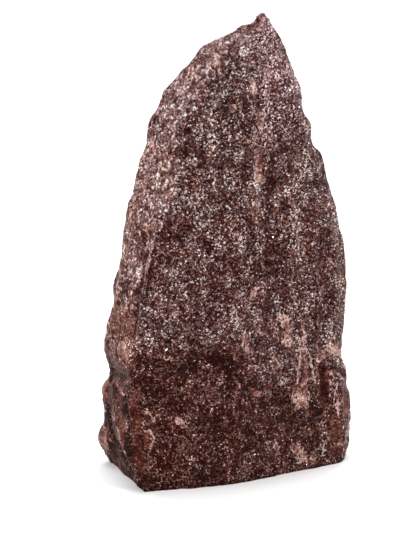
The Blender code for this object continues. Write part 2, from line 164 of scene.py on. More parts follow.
# The front is smoother by this share, and relief fades toward the peak over PEAK_FADE, down to LEAST_RELIEF
FRONT_SMOOTHNESS = 0.60
PEAK_FADE, LEAST_RELIEF = 0.0100, 0.12

# The lattices of the lumps and scars are turned by these angles, so that none lines up with the ground
LATTICE_TURN = (0.50, 0.35, 0.60)

# Knobs stand out and hollows go in: (across, depth, height) of the middle, half widths, lift
KNOBS = {
    "wedge on the left side": ((-0.0378, -0.0105, 0.0465), (0.0030, 0.0050, 0.0044), 0.0014),
    "left side knob": ((-0.0376, -0.0045, 0.0700), (0.0042, 0.0050, 0.0034), 0.0010),
    "upper left hollow": ((-0.0280, -0.0100, 0.0850), (0.0026, 0.0045, 0.0045), -0.0008),
    "upper left knob": ((-0.0300, -0.0050, 0.0960), (0.0040, 0.0050, 0.0060), 0.0006),
    "brow of the front": ((-0.0050, -0.0160, 0.0560), (0.0220, 0.0080, 0.0060), 0.0008),
    "foot of the front": ((-0.0100, -0.0190, 0.0400), (0.0180, 0.0080, 0.0080), -0.0008),
    "front pit": ((-0.0067, -0.0119, 0.0868), (0.0026, 0.0040, 0.0034), -0.0007),
    "upper front pit": ((-0.0154, -0.0115, 0.0928), (0.0024, 0.0040, 0.0030), -0.0007),
    "wide plate": ((0.0276, -0.0062, 0.0290), (0.0030, 0.0040, 0.0050), 0.0012),
    "low plate": ((0.0268, -0.0067, 0.0100), (0.0028, 0.0040, 0.0034), 0.0009),
    "small plate": ((0.0175, -0.0097, 0.0425), (0.0018, 0.0040, 0.0030), 0.0008),
    "upper hollow of the back": ((-0.0040, 0.0220, 0.0960), (0.0130, 0.0120, 0.0200), -0.0024),
    "lower hollow of the back": ((0.0200, 0.0270, 0.0420), (0.0130, 0.0120, 0.0180), -0.0022),
    "left hollow of the back": ((-0.0230, 0.0250, 0.0340), (0.0100, 0.0120, 0.0130), -0.0016),
}

# Ribs stand out and grooves go in along a line: its points, half width, lift
RIBS = {
    "groove of the left side": (
        ((-0.0412, 0.0006, 0.0351), (-0.0424, -0.0015, 0.0281), (-0.0420, -0.0016, 0.0200),
         (-0.0401, -0.0040, 0.0129), (-0.0373, -0.0098, 0.0092), (-0.0334, -0.0165, 0.0049),
         (-0.0300, -0.0240, 0.0022)), 0.0012, -0.0018),
    "ridge beside that groove": (
        ((-0.0389, -0.0076, 0.0329), (-0.0394, -0.0095, 0.0270), (-0.0384, -0.0125, 0.0215),
         (-0.0362, -0.0180, 0.0165), (-0.0330, -0.0232, 0.0110),
         (-0.0290, -0.0252, 0.0039)), 0.0022, 0.0011),
    "crease beside that ridge": (
        ((-0.0355, -0.0160, 0.0335), (-0.0345, -0.0200, 0.0265),
         (-0.0344, -0.0222, 0.0190)), 0.0010, -0.0009),
    "recess under the wedge": (
        ((-0.0408, 0.0000, 0.0372), (-0.0383, -0.0060, 0.0376),
         (-0.0355, -0.0150, 0.0392)), 0.0014, -0.0017),
    "groove left of the front": (
        ((-0.0262, -0.0080, 0.0900), (-0.0285, -0.0110, 0.0770), (-0.0303, -0.0120, 0.0677),
         (-0.0322, -0.0140, 0.0550)), 0.0014, -0.0012),
    "upper ridge of the left side": (
        ((-0.0264, -0.0026, 0.1081), (-0.0300, -0.0037, 0.0957), (-0.0338, -0.0014, 0.0825),
         (-0.0367, -0.0046, 0.0705)), 0.0013, 0.0007),
    "lower ridge of the left side": (
        ((-0.0352, -0.0012, 0.0780), (-0.0371, -0.0041, 0.0703), (-0.0403, -0.0013, 0.0584),
         (-0.0414, -0.0028, 0.0495)), 0.0014, 0.0008),
    "rib of the upper front": (
        ((0.0089, 0.0000, 0.1427), (0.0110, -0.0027, 0.1221), (0.0121, -0.0042, 0.1136),
         (0.0100, -0.0098, 0.0916)), 0.0013, 0.0008),
    "groove beside that rib": (
        ((0.0146, -0.0004, 0.1260), (0.0158, -0.0026, 0.1115), (0.0146, -0.0079, 0.0790)), 0.0018, -0.0008),
    "rib of the middle": (
        ((0.0132, -0.0085, 0.0879), (0.0129, -0.0096, 0.0737), (0.0130, -0.0107, 0.0593)), 0.0016, 0.0005),
    "rib left of the middle": (
        ((0.0050, -0.0025, 0.1292), (0.0036, -0.0058, 0.1122), (0.0023, -0.0098, 0.0953)), 0.0020, 0.0005),
    "upper left rib": (
        ((-0.0047, -0.0032, 0.1328), (-0.0071, -0.0066, 0.1159),
         (-0.0099, -0.0100, 0.0972)), 0.0020, 0.0005),
    "upper right rib": (
        ((0.0209, 0.0029, 0.1284), (0.0224, 0.0005, 0.1110), (0.0232, -0.0023, 0.0936)), 0.0014, 0.0006),
    "rib right of the middle": (
        ((0.0227, -0.0036, 0.0829), (0.0221, -0.0057, 0.0651), (0.0205, -0.0082, 0.0470)), 0.0014, 0.0007),
    "rib far right": (
        ((0.0312, 0.0010, 0.0860), (0.0330, 0.0004, 0.0633), (0.0330, -0.0006, 0.0460)), 0.0013, 0.0009),
    "groove far right": (
        ((0.0352, 0.0016, 0.0760), (0.0362, 0.0016, 0.0595), (0.0352, 0.0006, 0.0480)), 0.0014, -0.0010),
    "column over the wide plate": (
        ((0.0286, -0.0021, 0.0462), (0.0286, -0.0031, 0.0405), (0.0282, -0.0056, 0.0350)), 0.0018, 0.0010),
    "shelf on the right": (
        ((0.0339, 0.0000, 0.0410), (0.0368, 0.0016, 0.0438), (0.0407, 0.0042, 0.0432)), 0.0018, 0.0018),
    "hollow under the shelf": (
        ((0.0376, 0.0000, 0.0384), (0.0413, 0.0013, 0.0367), (0.0439, 0.0048, 0.0350)), 0.0013, -0.0014),
    "pocket beside the block": (
        ((0.0353, -0.0002, 0.0375), (0.0358, -0.0005, 0.0316), (0.0363, -0.0007, 0.0243)), 0.0016, -0.0020),
    "crest of the block": (
        ((0.0410, 0.0005, 0.0312), (0.0417, 0.0016, 0.0212), (0.0427, 0.0022, 0.0092)), 0.0030, 0.0008),
    "ridge of the back": (
        ((0.0010, 0.0270, 0.0050), (0.0050, 0.0260, 0.0500), (0.0120, 0.0210, 0.1100)), 0.0060, 0.0016),
}


def hashed(cells, seed):
    """A steady pseudo-random value from 0 to 1 for each cell, from its three whole numbers and the seed."""
    x, y, z = (cells[..., axis].astype(np.int64).astype(np.uint32) for axis in range(3))
    mixed = x * np.uint32(73856093) ^ y * np.uint32(19349663) ^ z * np.uint32(83492791)
    mixed = mixed ^ np.uint32(seed * 374761393 % 2**32)
    for shift, factor in ((15, 2246822519), (13, 3266489917)):
        mixed = (mixed ^ (mixed >> np.uint32(shift))) * np.uint32(factor)
    return (mixed ^ (mixed >> np.uint32(16))).astype(np.float64) / 2**32


def lumps(points, size, seed):
    """Smooth noise from -1 to 1: random values at the corners of a lattice as wide as size, eased between."""
    scaled = points / np.asarray(size)
    cell = np.floor(scaled)
    part = scaled - cell
    ease = part * part * (3 - 2 * part)
    total = np.zeros(points.shape[:-1])
    for corner in itertools.product((0, 1), repeat=3):
        weight = np.prod(np.where(np.array(corner) == 1, ease, 1 - ease), axis=-1)
        total += weight * hashed(cell + corner, seed)
    return 2 * total - 1


def breakage(points, size, hollow, tilt, seed):
    """Break scars, in metres: shallow tilted bowls round random spots, meeting in sharp ridges.

    Each spot's bowl rises as hollow times the square of the distance, and leans by a random slope up to tilt.
    A point lies on the lowest bowl of those near it.
    """
    cell = np.floor(points / size)
    height = np.full(points.shape[:-1], np.inf)
    for step in itertools.product((-1, 0, 1), repeat=3):
        there = cell + step
        spot = np.stack([hashed(there, seed + k) for k in range(3)], axis=-1)
        slope = np.stack([hashed(there, seed + 3 + k) for k in range(3)], axis=-1) * 2 - 1
        away = points - (there + spot) * size
        bowl = hollow * size * np.sum((away / size) ** 2, axis=-1)
        height = np.minimum(height, bowl + tilt * np.sum(away * slope, axis=-1))
    return height


def from_line(points, line):
    """The distance from each point to a line of straight runs."""
    nearest = np.full(points.shape[:-1], np.inf)
    for start, end in zip(np.array(line[:-1]), np.array(line[1:])):
        along = np.clip((points - start) @ (end - start) / np.sum((end - start) ** 2), 0, 1)
        away = points - start - along[..., None] * (end - start)
        nearest = np.minimum(nearest, np.linalg.norm(away, axis=-1))
    return nearest


def bell(points, line, half_width):
    """A bell curve over the distance from a line: 1 on it, and 1 / e at the half width."""
    return np.exp(-(from_line(points, line) / half_width) ** 2)


def near_peak(points):
    """The share of the relief that each point has: all of it, but less toward the peak."""
    return np.clip((HEIGHT - points[..., 2]) / PEAK_FADE, LEAST_RELIEF, 1)


def edge_places(knots, heights):
    """An edge's across and depth at each height: straight runs between knots, rounded by a moving average."""
    knots = np.array(knots)
    total = np.zeros((len(heights), 2))
    offsets = np.linspace(-KNOT_ROUNDING, KNOT_ROUNDING, ROUNDING_STEPS)
    for offset in offsets:
        total += np.stack([np.interp(heights + offset, knots[:, 0], knots[:, k]) for k in (1, 2)], axis=1)
    return total / len(offsets)


def outlines(heights, around):
    """The level outlines: a row for each height and a column for each place around, from 0 to 1."""
    corners = np.stack([edge_places(knots, heights) for knots in EDGES.values()], axis=1)
    widths = np.array(list(SIDES.values()))
    starts = np.concatenate([[0.0], np.cumsum(widths)]) / widths.sum()
    offsets = np.linspace(-EDGE_ROUNDING, EDGE_ROUNDING, ROUNDING_STEPS) / widths.sum()
    level = np.zeros((len(heights), len(around), 2))
    for offset in offsets:
        place = (around + offset) % 1.0
        side = np.searchsorted(starts, place, side="right") - 1
        share = ((place - starts[side]) / (starts[side + 1] - starts[side]))[None, :, None]
        level += corners[:, side] * (1 - share) + corners[:, (side + 1) % len(EDGES)] * share
    upright = np.broadcast_to(heights[:, None, None], level.shape[:2] + (1,))
    return np.concatenate([level / len(offsets), upright], axis=2)


def normals(surface):
    """The unit normal at each point of the surface, from its neighbours round the outline and up the rows."""
    around = np.roll(surface, -1, axis=1) - np.roll(surface, 1, axis=1)
    upward = np.gradient(surface, axis=0)
    normal = np.cross(around, upward)
    return normal / np.linalg.norm(normal, axis=2, keepdims=True)


def relief(points, normal):
    """How far each point stands out from the smooth form, in metres."""
    facing_front = np.clip(-normal[..., 1], 0, 1) ** 2
    rough = 1 - FRONT_SMOOTHNESS * facing_front
    turned = points @ np.array(Euler(LATTICE_TURN).to_matrix())
    height = ROUNDED_OFF + BROAD_LIFT * lumps(turned, BROAD_LUMP, seed=1) * rough
    height += SMALL_LIFT * lumps(turned, SMALL_LUMP, seed=2)
    height += LAYER_LIFT * lumps(points, MICA_LAYER, seed=3) * facing_front
    height += breakage(turned, SCAR, SCAR_BOWL, SCAR_TILT, seed=20) * rough
    for middle, half_widths, lift in KNOBS.values():
        away = (points - middle) / half_widths
        height += lift * np.exp(-np.sum(away * away, axis=-1))
    for line, half_width, lift in RIBS.values():
        height += lift * bell(points, line, half_width)
    return height * near_peak(points)


# Fine relief that only this surface has: crumbs of rock, hackly grains, and chips that the front has fewer of
CRUMB, CRUMB_LIFT = 0.0024, 0.00022
GRAIN, GRAIN_LIFT = 0.0011, 0.00014
CHIP, CHIP_BOWL, CHIP_TILT, FEWER_CHIPS = 0.0042, 0.07, 0.13, 0.50

# The columns and rows of the fine surface
COLUMNS, ROWS = 440, 224

# Grains set into the surface: how many a piece has, how low they start, and the share that smooth places keep
GRAINS_A_PIECE, LEAST_HEIGHT, SMOOTH_SHARE = 24000, 0.0008, 0.22

# Plates of mica: their corners, half widths, how slender they are, how far the corners reach and shift round,
# how far they stand out and how much they lean
SCALE_CORNERS, SCALE_SIZES, SCALE_SLENDER = 5, (0.00012, 0.00040), (0.5, 1.0)
SCALE_REACH, SCALE_SHIFT, SCALE_LIFT, SCALE_LEAN = (0.7, 1.1), 0.25, 0.00004, 0.75

# Blocks of quartz: their half widths, how far their corners reach, and how far they are sunk
BLOCK_SIZES, BLOCK_REACH, BLOCK_SUNK = (0.00020, 0.00056), (0.6, 1.1), 0.00018

# Pale quartz shows along these lines, in the frame of the edges: the points of each, and its half width
PALE = {
    "top of the streak": (((0.0094, 0.0004, 0.1420), (0.0104, -0.0005, 0.1385)), 0.0010),
    "streak of the upper front": (((0.0116, -0.0010, 0.1310), (0.0127, -0.0009, 0.1248)), 0.0015),
    "middle of the streak": (((0.0119, -0.0035, 0.1185), (0.0112, -0.0060, 0.1085)), 0.0018),
    "foot of the streak": (((0.0107, -0.0076, 0.1010), (0.0103, -0.0088, 0.0958)), 0.0016),
    "spot of the upper front": (((0.0015, -0.0019, 0.1344), (0.0020, -0.0019, 0.1330)), 0.0012),
    "brow of the peak": (((-0.0037, 0.0012, 0.1495), (-0.0061, 0.0019, 0.1488)), 0.0020),
    "spot of the middle": (((0.0104, -0.0111, 0.0704), (0.0090, -0.0123, 0.0660)), 0.0014),
    "mottling of the middle": (((0.0064, -0.0143, 0.0550), (0.0088, -0.0135, 0.0483)), 0.0016),
    "mottling right of the middle": (((0.0206, -0.0069, 0.0589), (0.0232, -0.0053, 0.0540)), 0.0022),
    "column": (((0.0224, -0.0059, 0.0571), (0.0226, -0.0059, 0.0493)), 0.0018),
    "line beside that column": (((0.0280, -0.0025, 0.0561), (0.0289, -0.0023, 0.0485)), 0.0009),
    "small plate": (((0.0178, -0.0095, 0.0441), (0.0182, -0.0092, 0.0406)), 0.0015),
    "tall plate": (((0.0289, -0.0032, 0.0450), (0.0293, -0.0050, 0.0350)), 0.0022),
    "left rim of the tall plate": (
        ((0.0281, -0.0033, 0.0462), (0.0275, -0.0040, 0.0408), (0.0267, -0.0063, 0.0355)), 0.0008),
    "right rim of the tall plate": (
        ((0.0296, -0.0024, 0.0456), (0.0312, -0.0016, 0.0396), (0.0320, -0.0027, 0.0350)), 0.0008),
    "wide plate": (((0.0278, -0.0060, 0.0323), (0.0275, -0.0064, 0.0260)), 0.0034),
    "spot under the plates": (((0.0299, -0.0041, 0.0228), (0.0303, -0.0037, 0.0208)), 0.0010),
    "low plate": (((0.0252, -0.0071, 0.0104), (0.0275, -0.0057, 0.0075), (0.0291, -0.0045, 0.0047)), 0.0024),
    "small low plate": (((0.0189, -0.0098, 0.0115), (0.0193, -0.0095, 0.0090)), 0.0015),
    "corner plate": (((0.0325, -0.0032, 0.0054), (0.0333, -0.0029, 0.0021)), 0.0012),
    "cluster": (((0.0088, -0.0142, 0.0352), (0.0117, -0.0127, 0.0320)), 0.0013),
    "outlined spot": (
        ((0.0035, -0.0165, 0.0385), (0.0072, -0.0159, 0.0340), (0.0060, -0.0159, 0.0300)), 0.0006),
    "white corner": (((0.0432, 0.0023, 0.0068), (0.0448, 0.0042, 0.0072)), 0.0012),
    "ledge": (
        ((0.0346, -0.0003, 0.0415), (0.0383, 0.0017, 0.0438), (0.0430, 0.0100, 0.0416),
         (0.0444, 0.0112, 0.0365)), 0.0024),
    "line under the ledge": (((0.0388, 0.0010, 0.0357), (0.0441, 0.0065, 0.0315)), 0.0010),
    "streak of the block": (((0.0412, 0.0008, 0.0249), (0.0417, 0.0009, 0.0202)), 0.0008),
    "spot low on the left": (((-0.0174, -0.0197, 0.0255), (-0.0142, -0.0198, 0.0229)), 0.0014),
    "rim of the oval": (
        ((-0.0290, -0.0217, 0.0217), (-0.0262, -0.0212, 0.0212), (-0.0256, -0.0213, 0.0178),
         (-0.0266, -0.0221, 0.0155)), 0.0006),
    "arc over the oval": (
        ((-0.0290, -0.0208, 0.0285), (-0.0266, -0.0204, 0.0280), (-0.0252, -0.0202, 0.0249)), 0.0006),
    # The wedge and its tip are pink quartz, made paler by painted highlight where the wedge stands out into
    # the light
    "wedge": (((-0.0366, -0.0118, 0.0497), (-0.0354, -0.0141, 0.0478)), 0.0034),
    "tip of the wedge": (((-0.0351, -0.0148, 0.0466), (-0.0351, -0.0153, 0.0437)), 0.0016),
    "streak under the wedge": (((-0.0383, -0.0099, 0.0352), (-0.0371, -0.0136, 0.0327)), 0.0016),
    "white spot under the wedge": (((-0.0379, -0.0091, 0.0398), (-0.0384, -0.0083, 0.0365)), 0.0009),
    # The line of the ridge is painted highlight along the ridge's crest
    "line of the ridge": (
        ((-0.0407, -0.0083, 0.0278), (-0.0404, -0.0087, 0.0222), (-0.0382, -0.0162, 0.0189),
         (-0.0355, -0.0217, 0.0127)), 0.0008),
    "upper knob": (((-0.0430, 0.0006, 0.0308), (-0.0438, 0.0001, 0.0263)), 0.0030),
    "lower knob": (((-0.0448, 0.0008, 0.0129), (-0.0449, 0.0006, 0.0074)), 0.0036),
    "left knob": (((-0.0397, -0.0013, 0.0620), (-0.0387, -0.0023, 0.0680)), 0.0012),
    "upper left side": (((-0.0271, -0.0052, 0.1008), (-0.0256, -0.0073, 0.0998)), 0.0013),
    "spot right of it": (((-0.0217, -0.0084, 0.1050), (-0.0196, -0.0092, 0.1030)), 0.0013),
    "streak of the left side": (((-0.0369, 0.0034, 0.0850), (-0.0345, -0.0045, 0.0767)), 0.0010),
    "top left side": (((-0.0283, -0.0002, 0.1094), (-0.0250, 0.0014, 0.1215)), 0.0018),
    "rim of the base": (((-0.0242, -0.0223, 0.0030), (-0.0162, -0.0213, 0.0022)), 0.0007),
}

# Fine pale lines, where a plate or a ridge breaks off, along straight runs between these points
LINES = (
    ((0.0346, -0.0001, 0.0402), (0.0383, 0.0019, 0.0434), (0.0430, 0.0100, 0.0416),
     (0.0444, 0.0112, 0.0365)),
    ((0.0388, 0.0010, 0.0357), (0.0441, 0.0065, 0.0315)),
    ((0.0388, 0.0003, 0.0328), (0.0385, 0.0001, 0.0271)),
    ((0.0410, 0.0008, 0.0319), (0.0400, 0.0005, 0.0250), (0.0417, 0.0009, 0.0198)),
    ((0.0249, -0.0071, 0.0334), (0.0245, -0.0076, 0.0298), (0.0272, -0.0065, 0.0252),
     (0.0303, -0.0040, 0.0239), (0.0305, -0.0043, 0.0298)),
    ((0.0241, -0.0074, 0.0105), (0.0253, -0.0065, 0.0059), (0.0276, -0.0050, 0.0038),
     (0.0298, -0.0042, 0.0050)),
    ((0.0274, -0.0035, 0.0455), (0.0267, -0.0044, 0.0401), (0.0260, -0.0066, 0.0340)),
    ((0.0292, -0.0028, 0.0464), (0.0312, -0.0008, 0.0420), (0.0320, -0.0027, 0.0350)),
    ((-0.0290, -0.0217, 0.0214), (-0.0266, -0.0212, 0.0219), (-0.0252, -0.0210, 0.0188),
     (-0.0263, -0.0220, 0.0151)),
    ((-0.0408, -0.0075, 0.0221), (-0.0387, -0.0148, 0.0184), (-0.0360, -0.0142, 0.0094),
     (-0.0315, -0.0194, 0.0019)),
    ((-0.0385, -0.0094, 0.0493), (-0.0373, -0.0125, 0.0451), (-0.0351, -0.0153, 0.0430),
     (-0.0325, -0.0172, 0.0473)),
    ((0.0420, 0.0013, 0.0079), (0.0447, 0.0038, 0.0081), (0.0445, 0.0046, 0.0039)),
    ((0.0164, -0.0101, 0.0413), (0.0178, -0.0093, 0.0448), (0.0197, -0.0079, 0.0413)),
)

# Their half width and the share of it that is full. How much painted highlight the ribs get, how much
# painted shade the grooves get, and how wide either mark is beside its form
LINE_WIDTH, LINE_CORE = 0.00042, 0.3
RIB_HIGHLIGHT, GROOVE_SHADE, FORM_TO_MARK = 0.40, 0.90, 0.8

# Dark marks lie along these lines: mostly painted shade in hollows, pits and grooves and under the brow,
# the ledge and the upper knob, with darker rock on the red faces of the ridge
SHADE_AND_DARK = {
    "beside the streak": (((0.0163, -0.0012, 0.1114), (0.0158, -0.0043, 0.0960)), 0.0016),
    "middle": (((-0.0064, -0.0113, 0.0868), (-0.0060, -0.0113, 0.0850)), 0.0022),
    "left of the middle": (((-0.0151, -0.0108, 0.0920), (-0.0151, -0.0108, 0.0905)), 0.0024),
    "right of the middle": (((0.0150, -0.0077, 0.0804), (0.0150, -0.0077, 0.0790)), 0.0020),
    "far right": (((0.0350, 0.0004, 0.0598), (0.0353, 0.0007, 0.0540)), 0.0018),
    "pocket": (((0.0351, 0.0010, 0.0380), (0.0359, 0.0003, 0.0317), (0.0367, 0.0005, 0.0254)), 0.0020),
    "hollow of the ledge": (((0.0396, 0.0035, 0.0417), (0.0418, 0.0077, 0.0404)), 0.0012),
    "under the ledge": (((0.0411, 0.0036, 0.0367), (0.0437, 0.0073, 0.0335)), 0.0012),
    "under the brow": (
        ((0.0052, -0.0165, 0.0389), (-0.0036, -0.0164, 0.0478), (-0.0195, -0.0180, 0.0424)), 0.0026),
    "left groove": (
        ((-0.0416, -0.0035, 0.0311), (-0.0417, -0.0049, 0.0254), (-0.0411, -0.0044, 0.0187),
         (-0.0398, -0.0038, 0.0115), (-0.0373, -0.0091, 0.0065), (-0.0343, -0.0140, 0.0031)), 0.0018),
    "under the upper knob": (((-0.0435, 0.0002, 0.0224), (-0.0436, 0.0008, 0.0175)), 0.0016),
    "below the left groove": (((-0.0417, -0.0029, 0.0092), (-0.0395, -0.0047, 0.0032)), 0.0024),
    "red face of the ridge": (((-0.0363, -0.0156, 0.0315), (-0.0359, -0.0171, 0.0279)), 0.0021),
    "lower red face of the ridge": (((-0.0351, -0.0203, 0.0193), (-0.0333, -0.0235, 0.0134)), 0.0020),
    "left of the wedge": (
        ((-0.0386, -0.0059, 0.0542), (-0.0385, -0.0091, 0.0496), (-0.0381, -0.0116, 0.0448)), 0.0008),
    "edge of the left side": (
        ((-0.0256, -0.0136, 0.0812), (-0.0267, -0.0144, 0.0735), (-0.0278, -0.0153, 0.0661)), 0.0009),
    "hollow of the left side": (((-0.0311, -0.0046, 0.0877), (-0.0278, -0.0091, 0.0826)), 0.0022),
    "lower hollow of the left side": (((-0.0318, -0.0108, 0.0696), (-0.0288, -0.0148, 0.0678)), 0.0018),
}

# Small forms of the outline, from front to back or down the stone: a line, its half width and its lift
OUTLINE_FORMS = {
    "notch left of the peak": (((0.0095, 0.0000, 0.1621), (0.0095, 0.0130, 0.1621)), 0.0014, -0.0022),
    "shoulder under the notch": (((0.0056, 0.0010, 0.1600), (0.0056, 0.0130, 0.1600)), 0.0018, 0.0009),
    "knob of the right outline": (((0.0286, 0.0030, 0.1250), (0.0286, 0.0150, 0.1250)), 0.0036, 0.0018),
    "swelling of the right side": (((0.0420, 0.0125, 0.0820), (0.0427, 0.0115, 0.0620)), 0.0062, 0.0013),
}

# Smoother and darker rock, with few grains, lies along these lines
SMOOTH = {
    "block": (((0.0445, 0.0061, 0.0293), (0.0449, 0.0048, 0.0200)), 0.0036),
    "foot of the block": (((0.0406, 0.0009, 0.0175), (0.0421, 0.0021, 0.0053)), 0.0034),
    "pocket": (((0.0351, 0.0010, 0.0380), (0.0359, 0.0003, 0.0317), (0.0367, 0.0005, 0.0254)), 0.0030),
    "oval": (((-0.0276, -0.0217, 0.0206), (-0.0273, -0.0221, 0.0162)), 0.0018),
    "left of the front": (
        ((-0.0321, -0.0198, 0.0345), (-0.0315, -0.0217, 0.0221), (-0.0298, -0.0250, 0.0083)), 0.0022),
    "ridge of the left side": (((-0.0385, -0.0120, 0.0280), (-0.0366, -0.0180, 0.0165)), 0.0030),
    "foot of the left side": (((-0.0417, -0.0029, 0.0092), (-0.0385, -0.0060, 0.0040)), 0.0034),
}


# The mauve left side reaches to the crease of the front left edge. Its limit wanders by LEFT_WANDER, lies
# further right above LEFT_RISE and further left below LEFT_DROP, and is eased over LEFT_LIMIT across and
# LEFT_BACK in depth
LEFT_WANDER, LEFT_WANDER_WIDTH = 0.0016, 0.0060
LEFT_RISE, LEFT_RISE_SHIFT = (0.0850, 0.1000), 0.0030
LEFT_DROP, LEFT_DROP_REACH, LEFT_DROP_SHIFT = 0.0420, 0.0080, 0.0028
LEFT_LIMIT, LEFT_BACK = (-0.0010, 0.0012), (-0.0120, -0.0040)

# The redder foot reaches up to a line that falls by FOOT_FALL as it goes to the right, and wanders
FOOT_TOP, FOOT_FALL, FOOT_ACROSS = 0.0520, 0.0190, (0.0020, 0.0180)
FOOT_WANDER, FOOT_WANDER_WIDTH = 0.0060, 0.0110
FOOT_LIMIT, FOOT_FRONT = (-0.0050, 0.0060), (-0.0060, 0.0020)
LEFT_FOOT_TOP, LEFT_FOOT_REACH = 0.0480, 0.0150

# Noise in the colours: waves a metre, detail, the values that become 0 and 1, its stretch, and its stir
EVEN = (1, 1, 1)
NOISES = {
    "fine": (1100.0, 2.0, 0.30, 0.70, EVEN, 0.0),
    "blotch": (230.0, 3.0, 0.32, 0.68, EVEN, 0.0),
    "broad": (55.0, 2.0, 0.35, 0.65, EVEN, 0.0),
    "layers": (330.0, 2.0, 0.32, 0.68, (1.0, 0.6, 0.3), 0.0),
    "marble": (360.0, 4.0, 0.33, 0.67, (1.0, 0.8, 0.8), 1.6),
    "ragged": (560.0, 4.0, 0.30, 0.70, EVEN, 0.0),
    "warmth": (150.0, 3.0, 0.38, 0.62, EVEN, 0.0),
    "seam gaps": (300.0, 1.0, 0.30, 0.70, EVEN, 0.0),
}
ROUGHNESS = 0.6

# The heights over which the rock turns paler toward the top, as painted light from above, warmer toward the
# foot, pink on the upper right and even at the peak, and the places across over which the top is paler, as
# painted light, and the blush begins
TOP, LOW, BLUSH, PEAK = (0.0950, 0.1500), (0.0850, 0.0450), (0.1050, 0.1400), (0.1250, 0.1500)
TOP_ACROSS, BLUSH_ACROSS = (0.0020, 0.0120), (0.0040, 0.0140)

# A tone goes from dark at 0.32 to pale at 0.83. It adds up these shares of noises, grain and regions
FRONT_TONE = {"fine": 0.40, "blotch": 0.20, "broad": 0.08, "layers": 0.12}
LEFT_TONE = {"blotch": 0.10, "marble": 0.38, "fine": 0.25, "grain": 0.13, "low": -0.10, "foot": -0.15}
SMOOTH_TONE = {"blotch": 0.12, "fine": 0.18}
MARK_DEPTH = {"fine": 0.40, "ragged": 0.95}
QUARTZ_TONE = {"blotch": 0.50, "fine": 0.50}
LEFT_START, SMOOTH_START, MARK_START = 0.178, 0.37, -0.68
# The top's lift in tone is painted light from above, and the dark marks' depth is mostly painted shade.
TOP_PAINTED_LIGHT, FOOT_DARKER, DARK_DEPTH, PALE_LIFT, PEAK_TONE = (0.052, 0.108), -0.074, -0.15, 0.06, 0.615

# How far the left side's tone, the smooth places' tone and the peak's even tone take over
LEFT_TAKES, SMOOTH_TAKES, PEAK_TAKES = 0.85, 0.75, (0.0, 0.22)

# Where marks begin and are full: smooth, dark with its ragged share, pale, and the end of a pale mark's rim
SMOOTH_FROM, DARK_FROM, DARK_RAGGED = (0.25, 0.75), (0.50, 1.00), 0.40
PALE_FROM, RIM_ENDS = (0.55, 0.65), (0.84, 0.74)

# How far a pale mark covers, by noise for its rim and for lines, and how much less it does on the left side
PALE_SHARE, PALE_LESS, RIM_LESS = 0.62, -0.24, -0.7
RIM_SHARE, LINE_SHARE = (0.35, 0.60, 0.10, 0.60), (0.20, 0.55, 0.15, 0.75)

# Colours as they show on a screen, 0 to 255, at each tone
MAUVE = {
    0.32: (26, 5, 6), 0.45: (54, 28, 31), 0.55: (87, 61, 64), 0.67: (150, 125, 126), 0.83: (254, 250, 246)}
BROWN = {
    0.32: (30, 3, 1), 0.45: (63, 22, 14), 0.55: (95, 50, 39), 0.67: (156, 110, 98), 0.83: (254, 242, 232)}
QUARTZ = {0.25: (68, 26, 22), 0.45: (126, 68, 60), 0.62: (172, 112, 100), 0.82: (232, 202, 188)}
SAWN = {0.0: (58, 32, 30), 0.5: (98, 66, 62), 1.0: (156, 126, 120)}
# The third of these, a near-white, is painted glints on some mica plates
RUST, SEAM, PAINTED_GLINT, RIM = (112, 48, 36), (196, 160, 150), (252, 246, 240), (232, 198, 188)

# The blush and the rusty corner multiply the colours by these
BLUSH_TINT, RUSTY_TINT, RUSTY_SHARE = (1.07, 0.93, 0.97, 1.0), (1.20, 0.80, 0.60, 1.0), 0.30
RUSTY_MIDDLE, RUSTY_REACH = (-0.0300, -0.0240, 0.0180), (0.0260, 0.0040)

# How brown, rather than mauve, the rock is: by height on the left side, at the foot, by noise, top and grain.
# The top's turn to grey mauve is painted sheen
LEFT_WARMTH, FOOT_WARMTH, NOISE_WARMTH, TOP_WARMTH, GRAIN_WARMTH = (0.25, 0.80), 0.65, 0.72, -0.30, 1.1

# Rust, by a grain's third value, by tone and by height, and how much less of it the left side and foot have
RUSTY_GRAINS, RUSTY_TONES, RUST_SHARE, LESS_RUST, RUST_AT_TOP = (0.76, 0.96), (0.75, 0.55), 0.75, -0.45, 0.45

# Thin seams, painted glints (white specks) by a grain's first value, and how far the fine pale lines wander
SEAM_WAVES, SEAM_WIDTH, SEAM_PARTS, SEAM_SHARE = 330.0, (0.020, 0.008), (0.48, 0.60), 0.32
PAINTED_GLINT_GRAINS = (0.966, 0.984)
LINE_WAVES, LINE_WANDER = 700.0, 0.0012

# Cells a metre in the ground and in the sawn base, how far they are stirred, and the stirring noise's share
ROCK_CELLS, SAWN_CELLS, CELL_STIR, STIR_WAVES = 2300.0, 900.0, 1.2, 0.8

# Each material's contrast and lightness, how strong its painted glints are, and how rough and shiny it is
ROCK_TONE = {"contrast": 0.38, "lightness": -0.149, "painted_glints": 0.0}
ROCK_ROUGHNESS, ROCK_GLOSS, LEFT_COAT = 0.68, -0.30, 0.06
ROCK_SHINE = {
    "Coat Roughness": 0.36, "Specular IOR Level": 0.06, "Sheen Weight": 0.10, "Sheen Roughness": 0.20,
    "Sheen Tint": (1.0, 0.84, 0.80, 1.0)}
CRUMB_NOISE = {"Scale": 1300.0, "Detail": 3.0, "Roughness": 0.65}
CRUMB_BUMP = {"Strength": 0.8, "Distance": 0.0003}
MICA = {"contrast": 0.60, "lightness": -0.122, "gloss": 0.42, "shine": 0.40, "painted_glints": 0.9, "metal": 0.75}
GRAINS = {"contrast": 0.46, "lightness": -0.122, "gloss": 0.25, "shine": 0.10}
GRAIN_ROUGHNESS, METAL_GRAINS = 0.62, (0.45, 0.75)

